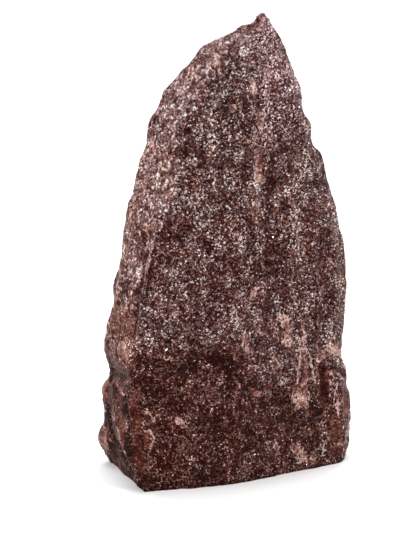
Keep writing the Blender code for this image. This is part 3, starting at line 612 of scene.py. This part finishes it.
# The sawn base: how rough it is, and its saw marks
SAWN_ROUGHNESS, SAWN_GLOSS = 0.45, 0.2
SAW_MARKS = {"Scale": 160.0, "Distortion": 0.6, "Detail": 1.0}
SAW_BUMP = {"Strength": 0.25, "Distance": 0.0002}

# Soft lights: place, width, watts, and where each looks
STONE_MIDDLE = (0, 0, 0.08)
LIGHTS = {
    "backdrop panel": ((0.0, 0.75, 1.6), 1.6, 42.0, (0, 0.9, 0.0)),
    "key light": ((-0.40, -0.30, 0.46), 0.07, 1.6, STONE_MIDDLE),
    "side light": ((0.44, -0.30, 0.40), 0.07, 1.15, STONE_MIDDLE),
    "left rim light": ((-0.50, 0.26, 0.26), 0.20, 0.75, STONE_MIDDLE),
    "right rim light": ((0.50, 0.26, 0.26), 0.20, 1.2, STONE_MIDDLE),
}
ROOM_LIGHT = 0.25

# The sweep: half its width, where it starts and turns up, the turn's radius and steps, its top and its looks
SWEEP_HALF_WIDTH, SWEEP_FRONT, SWEEP_TURN, SWEEP_RADIUS, SWEEP_TOP = 3.0, -3.0, 1.5, 0.8, 4.0
SWEEP_STEPS, SWEEP_GREY, SWEEP_ROUGHNESS = 16, (0.93, 0.93, 0.93, 1), 0.9

# The camera's aim, how far it stands from it, how high it looks from, its lens and its sensor in millimetres
AIM = Vector((-0.0062, -0.0014, 0.0720))
DISTANCE, ELEVATION, LENS, SENSOR = 0.552, math.radians(15), 100.0, 36.0


def fine_relief(points, normal):
    """Crumbs, grains and small chips: noise of three sizes, with fewer chips on the front."""
    facing_front = np.clip(-normal[..., 1], 0, 1) ** 2
    turned = points @ np.array(Euler(LATTICE_TURN).to_matrix())
    height = CRUMB_LIFT * lumps(turned, CRUMB, seed=51)
    height += GRAIN_LIFT * lumps(turned, GRAIN, seed=52)
    height += breakage(turned, CHIP, CHIP_BOWL, CHIP_TILT, seed=60) * (1 - FEWER_CHIPS * facing_front)
    return height


def outline_forms(points):
    """The small forms of the outline: bells of their half widths round their lines, each times its lift."""
    return sum(lift * bell(points, line, half_width) for line, half_width, lift in OUTLINE_FORMS.values())


def stone_surface(columns, rows):
    """The rough surface, as rows and columns of points: outlines pushed out by relief and small forms."""
    heights = np.linspace(-BELOW_SAW, HEIGHT - CAP, rows)
    around = np.arange(columns) / columns
    surface = outlines(heights, around)
    outward = normals(surface)
    fine = fine_relief(surface, outward) * near_peak(surface)
    lift = relief(surface, outward) + fine + outline_forms(surface)
    surface += outward * lift[..., None]
    surface[..., :2] -= BOX_MIDDLE
    return surface


def eased(value, low, high):
    """Goes smoothly from 0 at low to 1 at high."""
    share = np.clip((value - low) / (high - low), 0, 1)
    return share * share * (3 - 2 * share)


def formed(points, sign):
    """How much each point lies on a rib, for sign 1, or in a groove, for sign -1: 1 along its line."""
    strength = np.zeros(len(points))
    for line, half_width, lift in RIBS.values():
        if lift * sign > 0:
            strength = np.maximum(strength, bell(points, line, FORM_TO_MARK * half_width))
    return strength


def strongest(points, marks):
    """The strongest of some marks at each point: 1 on a mark's line, falling as a bell of its half width."""
    strength = np.zeros(len(points))
    for line, half_width in marks.values():
        strength = np.maximum(strength, bell(points, line, half_width))
    return strength


def crease(points, edge):
    """How far to the right of a named upright edge each point lies, at its own height."""
    return points[:, 0] - edge_places(EDGES[edge], points[:, 2])[:, 0]


def regions(points):
    """The regions at each point: pale, dark and smooth marks, the redder foot, and the mauve left side."""
    points = points + (*BOX_MIDDLE, 0)
    across, depth, height = points.T
    wander = LEFT_WANDER * lumps(points, LEFT_WANDER_WIDTH, seed=72)
    wander += LEFT_RISE_SHIFT * eased(height, *LEFT_RISE)
    wander -= LEFT_DROP_SHIFT * eased(LEFT_DROP - height, 0, LEFT_DROP_REACH)
    left = eased(wander - crease(points, "front left"), *LEFT_LIMIT) * eased(-depth, *LEFT_BACK)
    break_line = FOOT_TOP - FOOT_FALL * eased(across, *FOOT_ACROSS)
    break_line = break_line + FOOT_WANDER * lumps(points, FOOT_WANDER_WIDTH, seed=71)
    on_left = left * eased(LEFT_FOOT_TOP - height, 0, LEFT_FOOT_REACH)
    on_front = eased(-depth, *FOOT_FRONT) * (1 - left)
    foot = eased(break_line - height, *FOOT_LIMIT) * np.maximum(on_left, on_front)
    smooth = strongest(points, SMOOTH)
    # Ribs get painted highlight and grooves painted shade, besides the pale and dark marks along their lines.
    pale = np.maximum(strongest(points, PALE), RIB_HIGHLIGHT * formed(points, 1))
    dark = np.maximum(strongest(points, SHADE_AND_DARK), GROOVE_SHADE * formed(points, -1))
    return pale, dark, smooth, foot, left


def write_regions(piece):
    """Puts the regions on the piece's points, as the two attributes that its material reads."""
    mesh = piece.data
    points = np.empty(len(mesh.vertices) * 3)
    mesh.vertices.foreach_get("co", points)
    pale, dark, smooth, foot, left = regions(points.reshape(-1, 3))
    for name, values in (("marks", (pale, dark, smooth)), ("sides", (foot, left, np.zeros_like(left)))):
        layer = mesh.attributes.new(name, "FLOAT_VECTOR", "POINT")
        layer.data.foreach_set("vector", np.stack(values, axis=1).astype(np.float32).ravel())


def made_piece(name, points, faces, materials):
    """A new object from arrays of points and lists of faces."""
    mesh = bpy.data.meshes.new(name)
    mesh.from_pydata(points.tolist(), [], faces)
    mesh.update()
    piece = bpy.data.objects.new(name, mesh)
    bpy.context.collection.objects.link(piece)
    for material in materials:
        mesh.materials.append(material)
    return piece


def sawn_level(piece):
    """Cuts the piece off at the ground and closes the cut with one flat face in the second material."""
    cut = bmesh.new()
    cut.from_mesh(piece.data)
    parts = cut.verts[:] + cut.edges[:] + cut.faces[:]
    bmesh.ops.bisect_plane(
        cut, geom=parts, dist=1e-6, plane_co=(0, 0, 0), plane_no=(0, 0, 1), clear_inner=True)
    rim = [edge for edge in cut.edges if edge.is_boundary]
    base = bmesh.ops.contextual_create(cut, geom=rim)["faces"]
    for face in base:
        face.material_index = 1
        if face.normal.z > 0:
            face.normal_flip()
    cut.to_mesh(piece.data)
    cut.free()


def rough_stone(surface, rock, sawn):
    """The whole stone as one surface: quads between neighbouring points and a fan to the peak."""
    rows, columns = surface.shape[:2]
    index = np.arange(rows * columns).reshape(rows, columns)
    following = np.roll(index, -1, axis=1)
    quads = np.stack([index[:-1], following[:-1], following[1:], index[1:]], axis=2).reshape(-1, 4)
    peak = surface[-1].mean(axis=0) + (0, 0, CAP)
    fan = [(a, b, rows * columns) for a, b in zip(index[-1].tolist(), following[-1].tolist())]
    points = np.concatenate([surface.reshape(-1, 3), peak[None]])
    piece = made_piece("rough_stone", points, quads.tolist() + fan, [rock, sawn])
    sawn_level(piece)
    write_regions(piece)
    return piece


def places_on(surface, count, draw):
    """Random places on the surface, even by area, with the surface's normal at each."""
    right = np.roll(surface, -1, axis=1)
    corners = np.stack([surface[:-1], right[:-1], surface[1:], right[1:]])
    outward = normals(surface)
    turned = np.roll(outward, -1, axis=1)
    leans = np.stack([outward[:-1], turned[:-1], outward[1:], turned[1:]])
    area = np.linalg.norm(np.cross(corners[1] - corners[0], corners[2] - corners[0]), axis=2).ravel()
    chosen = np.searchsorted(np.cumsum(area) / area.sum(), draw.random(count))
    u, v = draw.random(count), draw.random(count)
    shares = np.stack([(1 - u) * (1 - v), u * (1 - v), (1 - u) * v, u * v])[..., None]
    spots = np.sum(corners.reshape(4, -1, 3)[:, chosen] * shares, axis=0)
    facing = np.sum(leans.reshape(4, -1, 3)[:, chosen] * shares, axis=0)
    return spots, facing / np.linalg.norm(facing, axis=1, keepdims=True)


def grain_places(surface, count, draw):
    """Places for grains: above the ground, and fewer on the smooth marks and the left side."""
    spots, facing = places_on(surface, 3 * count, draw)
    smooth, _, left = regions(spots)[2:]
    bare = np.maximum(smooth, left) * (1 - SMOOTH_SHARE)
    kept = (spots[:, 2] > LEAST_HEIGHT) & (draw.random(len(spots)) > bare)
    return spots[kept][:count], facing[kept][:count]


def unit(vectors):
    """Each vector made one long."""
    return vectors / np.linalg.norm(vectors, axis=-1, keepdims=True)


def grain_mesh(name, corners, faces, draw, material):
    """A piece of many like grains: corners is (grains, corners of one, 3), and faces are those of one grain.

    Each grain gets three random values, which its material reads.
    """
    grains, each = corners.shape[:2]
    steps = (np.arange(grains) * each)[:, None]
    all_faces = []
    for face in faces:
        all_faces += (steps + np.array(face)).tolist()
    piece = made_piece(name, corners.reshape(-1, 3), all_faces, [material])
    values = np.repeat(draw.random((grains, 3)), each, axis=0)
    layer = piece.data.attributes.new("grain", "FLOAT_VECTOR", "POINT")
    layer.data.foreach_set("vector", values.astype(np.float32).ravel())
    write_regions(piece)
    return piece


def mica_scales(name, surface, material, seed):
    """Plates of mica: a flat top of uneven corners, leaning at random, and a corner below it in the rock."""
    draw = np.random.default_rng(seed)
    spots, facing = grain_places(surface, GRAINS_A_PIECE, draw)
    count, around = len(spots), SCALE_CORNERS
    flat = unit(facing + SCALE_LEAN * draw.normal(size=(count, 3)) / math.sqrt(3))
    side = unit(np.cross(flat, draw.normal(size=(count, 3))))
    other = np.cross(flat, side)
    size = draw.uniform(*SCALE_SIZES, (count, 1))
    slender = draw.uniform(*SCALE_SLENDER, (count, 1))
    middle = spots + facing * SCALE_LIFT
    shift = draw.uniform(-SCALE_SHIFT, SCALE_SHIFT, (count, around))
    turns = 2 * math.pi * (np.arange(around) + shift) / around
    reach = size * draw.uniform(*SCALE_REACH, (count, around))
    rim = middle[:, None] + side[:, None] * (reach * np.cos(turns))[..., None]
    rim = rim + (other * slender)[:, None] * (reach * np.sin(turns))[..., None]
    below = middle - flat * size
    corners = np.concatenate([rim, below[:, None]], axis=1)
    faces = [tuple(range(around))] + [((k + 1) % around, k, around) for k in range(around)]
    return grain_mesh(name, corners, faces, draw, material)


def quartz_blocks(name, surface, material, seed):
    """Blocky grains: eight-sided, with six corners at uneven distances, turned at random and half sunk."""
    draw = np.random.default_rng(seed)
    spots, facing = grain_places(surface, GRAINS_A_PIECE, draw)
    count = len(spots)
    first = unit(draw.normal(size=(count, 3)))
    second = unit(np.cross(first, draw.normal(size=(count, 3))))
    third = np.cross(first, second)
    size = draw.uniform(*BLOCK_SIZES, (count, 1, 1))
    arms = np.stack([first, second, -first, -second, third, -third], axis=1)
    corners = (spots - facing * BLOCK_SUNK)[:, None] + arms * size * draw.uniform(*BLOCK_REACH, (count, 6, 1))
    faces = [(k, (k + 1) % 4, 4) for k in range(4)] + [((k + 1) % 4, k, 5) for k in range(4)]
    return grain_mesh(name, corners, faces, draw, material)


class Nodes:
    """Short words for building a material's or a group's node tree."""

    def __init__(self, tree):
        self.tree = tree

    def add(self, kind, inputs=None, **settings):
        """A node of that kind, with its settings, and values or links for its inputs by name or number."""
        node = self.tree.nodes.new("ShaderNode" + kind)
        for name, value in settings.items():
            setattr(node, name, value)
        for name, value in (inputs or {}).items():
            self.feed(node.inputs[name], value)
        return node

    def feed(self, socket, value):
        """Links the socket to another node's output, or sets its value."""
        if isinstance(value, bpy.types.NodeSocket):
            self.tree.links.new(value, socket)
        else:
            socket.default_value = value

    def value(self, name):
        """The three parts of a piece's attribute, as a vector."""
        return self.add("Attribute", attribute_name=name).outputs["Vector"]

    def parts(self, vector):
        """A vector's three parts."""
        return self.add("SeparateXYZ", {0: vector}).outputs

    def sum(self, operation, first, second=0.0, third=0.0, clamp=False):
        """A Math node's result."""
        node = self.add("Math", {0: first, 1: second, 2: third}, operation=operation, use_clamp=clamp)
        return node.outputs[0]

    def vector(self, operation, first, second=(0, 0, 0), third=(0, 0, 0), scale=None):
        """A Vector Math node's vector result."""
        node = self.add("VectorMath", {0: first, 1: second, 2: third}, operation=operation)
        if scale is not None:
            self.feed(node.inputs["Scale"], scale)
        return node.outputs[0]

    def weighted(self, start, shares, found):
        """The start plus each named share of what was found under that name."""
        for name, share in shares.items():
            start = self.sum("MULTIPLY_ADD", found[name], share, start)
        return start

    def between(self, share, first, second):
        """A value that goes from first to second as share goes from 0 to 1."""
        node = self.add("Mix", {0: share, 2: first, 3: second}, data_type="FLOAT")
        return node.outputs[0]

    def blend(self, share, first, second, way="MIX"):
        """A colour that goes from first to second as share goes from 0 to 1."""
        node = self.add("Mix", data_type="RGBA", blend_type=way)
        node.clamp_factor = True
        self.feed(node.inputs[0], share)
        self.feed(node.inputs[6], first)
        self.feed(node.inputs[7], second)
        return node.outputs[2]

    def fade(self, value, low, high, out_low=0.0, out_high=1.0, soft=True):
        """A value eased from out_low to out_high as it goes from low to high."""
        node = self.add(
            "MapRange",
            {0: value, 1: low, 2: high, 3: out_low, 4: out_high},
            interpolation_type="SMOOTHSTEP" if soft else "LINEAR",
        )
        return node.outputs[0]

    def ramp(self, value, stops):
        """A colour ramp over stops, each a place and a colour as it shows on a screen."""
        node = self.add("ValToRGB", {0: value})
        elements = node.color_ramp.elements
        while len(elements) < len(stops):
            elements.new(0.5)
        for element, (place, colour) in zip(elements, stops.items()):
            element.position = place
            element.color = shown(*colour)
        return node.outputs[0]


def shown(red, green, blue):
    """A colour as it shows on a screen, 0 to 255, turned to the renderer's even light."""
    even = (((v / 255 + 0.055) / 1.055) ** 2.4 if v > 10 else v / 3294 for v in (red, green, blue))
    return (*even, 1.0)


def started_group(name, vectors, values, output, kind):
    """A new node group with its inputs and one output: its nodes, what it is given and what it puts out."""
    group = bpy.data.node_groups.new(name, "ShaderNodeTree")
    for socket in vectors:
        group.interface.new_socket(socket, in_out="INPUT", socket_type="NodeSocketVector")
    for socket in values:
        group.interface.new_socket(socket, in_out="INPUT", socket_type="NodeSocketFloat")
    group.interface.new_socket(output, in_out="OUTPUT", socket_type=kind)
    given = group.nodes.new("NodeGroupInput").outputs
    return group, Nodes(group), given, group.nodes.new("NodeGroupOutput").inputs


def line_group():
    """A mask that is 1 on a straight run, from a place, the run's start, its way to its end, and its measure.

    The measure is the way divided by its squared length, so its dot product with a distance is a share.
    """
    group, make, given, out = started_group(
        "pale line", ("Place", "Start", "Way", "Measure"), (), "Mask", "NodeSocketFloat")
    away = make.vector("SUBTRACT", given["Place"], given["Start"])
    along = make.add("VectorMath", {0: away, 1: given["Measure"]}, operation="DOT_PRODUCT").outputs["Value"]
    reached = make.vector("SCALE", given["Way"], scale=make.sum("ADD", along, 0.0, clamp=True))
    distance = make.add("VectorMath", {0: away, 1: reached}, operation="DISTANCE").outputs["Value"]
    make.feed(out["Mask"], make.fade(distance, LINE_WIDTH, LINE_CORE * LINE_WIDTH))
    return group


def line_mask(make, place, line):
    """A mask of all the fine pale lines."""
    mask = 0.0
    for points in LINES:
        for start, end in zip(points[:-1], points[1:]):
            way = Vector(end) - Vector(start)
            start = Vector(start) - Vector((*BOX_MIDDLE, 0))
            run = {"Place": place, "Start": start, "Way": way, "Measure": way / way.length_squared}
            mask = make.sum("MAXIMUM", make.add("Group", run, node_tree=line).outputs["Mask"], mask)
    return mask


def cell_group():
    """Uneven cells, that many a metre, with three random values each: Voronoi cells in a stirred place."""
    group, make, given, out = started_group(
        "stirred cells", ("Place",), ("Cells", "Stir"), "Values", "NodeSocketColor")
    place, cells = given["Place"], given["Cells"]
    waves = make.sum("MULTIPLY", cells, STIR_WAVES)
    moved = make.add("TexNoise", {"Vector": place, "Scale": waves, "Detail": 1.0}).outputs["Color"]
    shift = make.sum("DIVIDE", given["Stir"], cells)
    shift = make.vector("SCALE", make.vector("SUBTRACT", moved, (0.5, 0.5, 0.5)), scale=shift)
    uneven = make.vector("ADD", place, shift)
    found = make.add("TexVoronoi", {"Vector": uneven, "Scale": cells}, feature="F1")
    make.feed(out["Values"], found.outputs["Color"])
    return group


def noise(make, place, name):
    """The named noise at a place, spread so that its low and high values become 0 and 1."""
    waves, detail, low, high, stretch, stir = NOISES[name]
    spread = make.vector("MULTIPLY", place, stretch)
    found = make.add("TexNoise", {
        "Vector": spread, "Scale": waves, "Detail": detail, "Roughness": ROUGHNESS, "Distortion": stir})
    return make.fade(found.outputs["Fac"], low, high, soft=False)


def tone_of(make, found, marks, given):
    """How pale the rock is, and the masks of pale marks and of their rims.

    The tone of the front gives way to those of the left side, the smooth places and the peak.
    """
    tone = make.weighted(make.sum("MULTIPLY", found["grain"], given["Contrast"]), FRONT_TONE, found)
    tone = make.sum("ADD", tone, given["Lightness"])
    # The top is paler as painted light from above.
    tone = make.sum("MULTIPLY_ADD", found["top"], make.fade(found["across"], *TOP_ACROSS, *TOP_PAINTED_LIGHT), tone)
    tone = make.sum("MULTIPLY_ADD", found["foot"], FOOT_DARKER, tone)
    left_tone = make.weighted(LEFT_START, LEFT_TONE, found)
    tone = make.between(make.sum("MULTIPLY", found["left"], LEFT_TAKES), tone, left_tone)
    smooth_tone = make.weighted(SMOOTH_START, SMOOTH_TONE, found)
    tone = make.between(make.sum("MULTIPLY", found["smooth"], SMOOTH_TAKES), tone, smooth_tone)
    # Dark marks lower the tone: painted shade in hollows, pits and grooves, and darker rock on the ridge's
    # red faces.
    dark = make.fade(make.sum("MULTIPLY_ADD", found["ragged"], DARK_RAGGED, marks[1]), *DARK_FROM)
    tone = make.sum("MULTIPLY_ADD", dark, DARK_DEPTH, tone)
    tone = make.between(make.fade(found["height"], *PEAK, *PEAK_TAKES), tone, PEAK_TONE)
    depth = make.weighted(make.sum("ADD", marks[0], MARK_START), MARK_DEPTH, found)
    pale = make.fade(depth, *PALE_FROM)
    rim = make.sum("MULTIPLY", pale, make.fade(depth, *RIM_ENDS))
    return make.sum("MULTIPLY_ADD", pale, PALE_LIFT, tone), pale, rim


def warmth_of(make, found):
    """How brown, rather than mauve, the rock is."""
    warm = make.sum("MULTIPLY", make.fade(found["low"], 0.0, 1.0, *LEFT_WARMTH), found["left"])
    warm = make.sum("MAXIMUM", warm, make.sum("MULTIPLY", found["foot"], FOOT_WARMTH))
    warm = make.sum("MULTIPLY_ADD", found["warmth"], NOISE_WARMTH, warm)
    # The top turns toward grey mauve as painted sheen.
    warm = make.sum("MULTIPLY_ADD", found["top"], TOP_WARMTH, make.sum("MAXIMUM", warm, found["smooth"]))
    warm = make.sum("MULTIPLY_ADD", make.sum("SUBTRACT", found["second"], 0.5), GRAIN_WARMTH, warm)
    return make.sum("ADD", warm, 0.0, clamp=True)


def seams_and_lines(make, place, found):
    """The masks of thin seams, which are the middle values of a noise, and of the fine pale lines."""
    seam = make.add("TexNoise", {"Vector": place, "Scale": SEAM_WAVES, "Detail": 3.0, "Roughness": ROUGHNESS})
    seam = make.fade(make.sum("ABSOLUTE", make.sum("SUBTRACT", seam.outputs["Fac"], 0.5)), *SEAM_WIDTH)
    seam = make.sum("MULTIPLY", seam, make.fade(found["seam gaps"], *SEAM_PARTS))
    stirred = make.add("TexNoise", {"Vector": place, "Scale": LINE_WAVES, "Detail": 2.0}).outputs["Color"]
    middle = make.vector("ADD", place, (-LINE_WANDER / 2,) * 3)
    wavy = make.vector("MULTIPLY_ADD", stirred, (LINE_WANDER,) * 3, middle)
    lines = make.sum("MULTIPLY", line_mask(make, wavy, line_group()), make.fade(found["fine"], *LINE_SHARE))
    return make.sum("MULTIPLY", seam, SEAM_SHARE), lines


def colour_group():
    """The rock's colours: a tone from the grain's random values and from patches of several sizes, read as
    colours of mauve-grey mica or of red-brown quartz, with rust spots, thin pale seams and the named marks.
    """
    # Some named marks are painted shade in hollows and painted highlight on ribs, the paler top is painted
    # light, and the white specks are painted glints.
    group, make, given, out = started_group(
        "rock colours", ("Place", "Grain", "Marks", "Sides"), ("Contrast", "Lightness", "Painted Glints"), "Colour",
        "NodeSocketColor")
    place = given["Place"]
    grain, marks, sides = (make.parts(given[name]) for name in ("Grain", "Marks", "Sides"))
    found = {name: noise(make, place, name) for name in NOISES}
    across, _, height = make.parts(place)
    found.update({
        "across": across, "height": height, "top": make.fade(height, *TOP), "low": make.fade(height, *LOW),
        "grain": grain[0], "second": grain[1], "foot": sides[0], "left": sides[1],
        "smooth": make.fade(marks[2], *SMOOTH_FROM)})
    tone, pale, rim = tone_of(make, found, marks, given)
    colour = make.blend(warmth_of(make, found), make.ramp(tone, MAUVE), make.ramp(tone, BROWN))

    blush = make.sum("MULTIPLY", make.fade(across, *BLUSH_ACROSS), make.fade(height, *BLUSH))
    colour = make.blend(blush, colour, BLUSH_TINT, way="MULTIPLY")

    rust = make.sum("MULTIPLY", make.fade(grain[2], *RUSTY_GRAINS), make.fade(tone, *RUSTY_TONES))
    less = make.sum("MULTIPLY_ADD", make.sum("MAXIMUM", sides[0], sides[1]), LESS_RUST, RUST_SHARE)
    at_top = make.fade(found["top"], 0.0, 1.0, 1.0, RUST_AT_TOP)
    rust = make.sum("MULTIPLY", make.sum("MULTIPLY", rust, less), at_top)
    colour = make.blend(rust, colour, shown(*RUST))
    corner = make.add("VectorMath", {0: place, 1: RUSTY_MIDDLE}, operation="DISTANCE").outputs["Value"]
    corner = make.sum("MULTIPLY", make.fade(corner, *RUSTY_REACH), RUSTY_SHARE)
    colour = make.blend(corner, colour, RUSTY_TINT, way="MULTIPLY")

    seams, lines = seams_and_lines(make, place, found)
    colour = make.blend(seams, colour, shown(*SEAM))
    # White specks on some mica plates are painted glints.
    painted_glint = make.sum("MULTIPLY", make.fade(grain[0], *PAINTED_GLINT_GRAINS), given["Painted Glints"])
    colour = make.blend(painted_glint, colour, shown(*PAINTED_GLINT))

    pale = make.sum("MULTIPLY", pale, make.sum("MULTIPLY_ADD", sides[1], PALE_LESS, PALE_SHARE))
    colour = make.blend(pale, colour, make.ramp(make.weighted(0.0, QUARTZ_TONE, found), QUARTZ))
    rim = make.sum("MULTIPLY", rim, make.fade(found["blotch"], *RIM_SHARE))
    rim = make.sum("MULTIPLY", rim, make.sum("MULTIPLY_ADD", sides[1], RIM_LESS, 1.0))
    make.feed(out["Colour"], make.blend(make.sum("MAXIMUM", rim, lines), colour, shown(*RIM)))
    return group


def started_material(name):
    """A new material, its nodes and its shader."""
    material = bpy.data.materials.new(name)
    material.use_nodes = True
    return material, Nodes(material.node_tree), material.node_tree.nodes["Principled BSDF"]


def coloured(make, shader, colours, grain, contrast, lightness, painted_glints=0.0):
    """Feeds the shader the rock's colours for these grain values."""
    given = {
        "Place": make.add("TexCoord").outputs["Object"], "Grain": grain, "Marks": make.value("marks"),
        "Sides": make.value("sides"), "Contrast": contrast, "Lightness": lightness, "Painted Glints": painted_glints}
    make.feed(shader.inputs["Base Color"], make.add("Group", given, node_tree=colours).outputs["Colour"])


def rock_material(colours, cells):
    """The ground between the grains: crumbly and dull, with a normal that turns from crumb to crumb."""
    material, make, shader = started_material("mica quartz rock")
    place = make.add("TexCoord").outputs["Object"]
    grain = make.add("Group", {"Place": place, "Cells": ROCK_CELLS, "Stir": CELL_STIR}, node_tree=cells)
    grain = grain.outputs["Values"]
    coloured(make, shader, colours, grain, **ROCK_TONE)
    crumbs = make.add("TexNoise", {"Vector": place, **CRUMB_NOISE}).outputs["Fac"]
    make.feed(shader.inputs["Normal"], make.add("Bump", {"Height": crumbs, **CRUMB_BUMP}).outputs["Normal"])
    gloss = make.add("SeparateColor", {0: grain}).outputs[2]
    make.feed(shader.inputs["Roughness"], make.sum("MULTIPLY_ADD", gloss, ROCK_GLOSS, ROCK_ROUGHNESS))
    left = make.parts(make.value("sides"))[1]
    make.feed(shader.inputs["Coat Weight"], make.sum("MULTIPLY", left, LEFT_COAT))
    for socket, value in ROCK_SHINE.items():
        shader.inputs[socket].default_value = value
    return material


def grain_material(name, colours, contrast, lightness, gloss, shine, painted_glints=0.0, metal=0.0):
    """Grains set into the rock, each of its own tone and gloss by its random values."""
    material, make, shader = started_material(name)
    grain = make.value("grain")
    coloured(make, shader, colours, grain, contrast, lightness, painted_glints)
    polish = make.parts(grain)[1]
    make.feed(shader.inputs["Roughness"], make.sum("MULTIPLY_ADD", polish, -gloss, GRAIN_ROUGHNESS))
    if metal:
        make.feed(shader.inputs["Metallic"], make.fade(polish, *METAL_GRAINS, 0.0, metal))
    shader.inputs["Specular IOR Level"].default_value = shine
    return material


def sawn_material(cells):
    """The sawn base: the same rock cut flat, with faint straight saw marks."""
    material, make, shader = started_material("sawn rock")
    place = make.add("TexCoord").outputs["Object"]
    grain = make.add("Group", {"Place": place, "Cells": SAWN_CELLS, "Stir": CELL_STIR}, node_tree=cells)
    shade = make.add("SeparateColor", {0: grain.outputs["Values"]}).outputs[0]
    marks = make.add("TexWave", {"Vector": place, **SAW_MARKS}).outputs["Fac"]
    make.feed(shader.inputs["Base Color"], make.ramp(shade, SAWN))
    make.feed(shader.inputs["Roughness"], make.sum("MULTIPLY_ADD", shade, SAWN_GLOSS, SAWN_ROUGHNESS))
    make.feed(shader.inputs["Normal"], make.add("Bump", {"Height": marks, **SAW_BUMP}).outputs["Normal"])
    return material


def studio():
    """A pale sweep, floor and background in one, that isn't part of the stone."""
    material = bpy.data.materials.new("white sweep")
    material.use_nodes = True
    shader = material.node_tree.nodes["Principled BSDF"]
    shader.inputs["Base Color"].default_value = SWEEP_GREY
    shader.inputs["Roughness"].default_value = SWEEP_ROUGHNESS
    turn = np.linspace(0, math.pi / 2, SWEEP_STEPS)
    profile = [(SWEEP_FRONT, 0.0)]
    profile += [(SWEEP_TURN + SWEEP_RADIUS * math.sin(a), SWEEP_RADIUS * (1 - math.cos(a))) for a in turn]
    profile += [(SWEEP_TURN + SWEEP_RADIUS, SWEEP_TOP)]
    points = [(x, y, z) for y, z in profile for x in (-SWEEP_HALF_WIDTH, SWEEP_HALF_WIDTH)]
    faces = [(2 * k, 2 * k + 1, 2 * k + 3, 2 * k + 2) for k in range(len(profile) - 1)]
    mesh = bpy.data.meshes.new("sweep")
    mesh.from_pydata(points, [], faces)
    mesh.materials.append(material)
    mesh.shade_smooth()
    floor = bpy.data.objects.new("sweep", mesh)
    bpy.context.collection.objects.link(floor)


def lights():
    """A dim white room, a bright panel over the backdrop, and small soft lights round the stone."""
    world = bpy.data.worlds.new("studio")
    world.use_nodes = True
    world.node_tree.nodes["Background"].inputs["Color"].default_value = (1, 1, 1, 1)
    world.node_tree.nodes["Background"].inputs["Strength"].default_value = ROOM_LIGHT
    bpy.context.scene.world = world
    for name, (place, width, watts, look_at) in LIGHTS.items():
        lamp = bpy.data.lights.new(name, "AREA")
        lamp.size = width
        lamp.energy = watts
        holder = bpy.data.objects.new(name, lamp)
        holder.location = place
        holder.rotation_euler = (Vector(look_at) - Vector(place)).to_track_quat("-Z", "Y").to_euler()
        bpy.context.collection.objects.link(holder)


def camera():
    """The camera of the photograph's view, which looks a little down on the middle of the stone."""
    lens = bpy.data.cameras.new("camera")
    lens.lens = LENS
    lens.sensor_width = SENSOR
    lens.sensor_fit = "AUTO"
    holder = bpy.data.objects.new("camera", lens)
    away = Vector((0, -math.cos(ELEVATION), math.sin(ELEVATION)))
    holder.location = AIM + DISTANCE * away
    holder.rotation_euler = (-away).to_track_quat("-Z", "Y").to_euler()
    bpy.context.collection.objects.link(holder)
    bpy.context.scene.camera = holder


colours, cells = colour_group(), cell_group()
form = stone_surface(COLUMNS, ROWS)
stone = rough_stone(form, rock_material(colours, cells), sawn_material(cells))
mica = grain_material("mica", colours, **MICA)
quartz = grain_material("quartz", colours, **GRAINS)
scales = mica_scales("mica_scales", form, mica, seed=11)
blocks = quartz_blocks("quartz_grains", form, quartz, seed=12)
small_blocks = quartz_blocks("red_grains", form, quartz, seed=13)
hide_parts("stone")
for piece in (stone, scales, blocks, small_blocks):
    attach(piece, "root")
studio()
lights()
camera()
bpy.context.scene.view_settings.view_transform = "Standard"
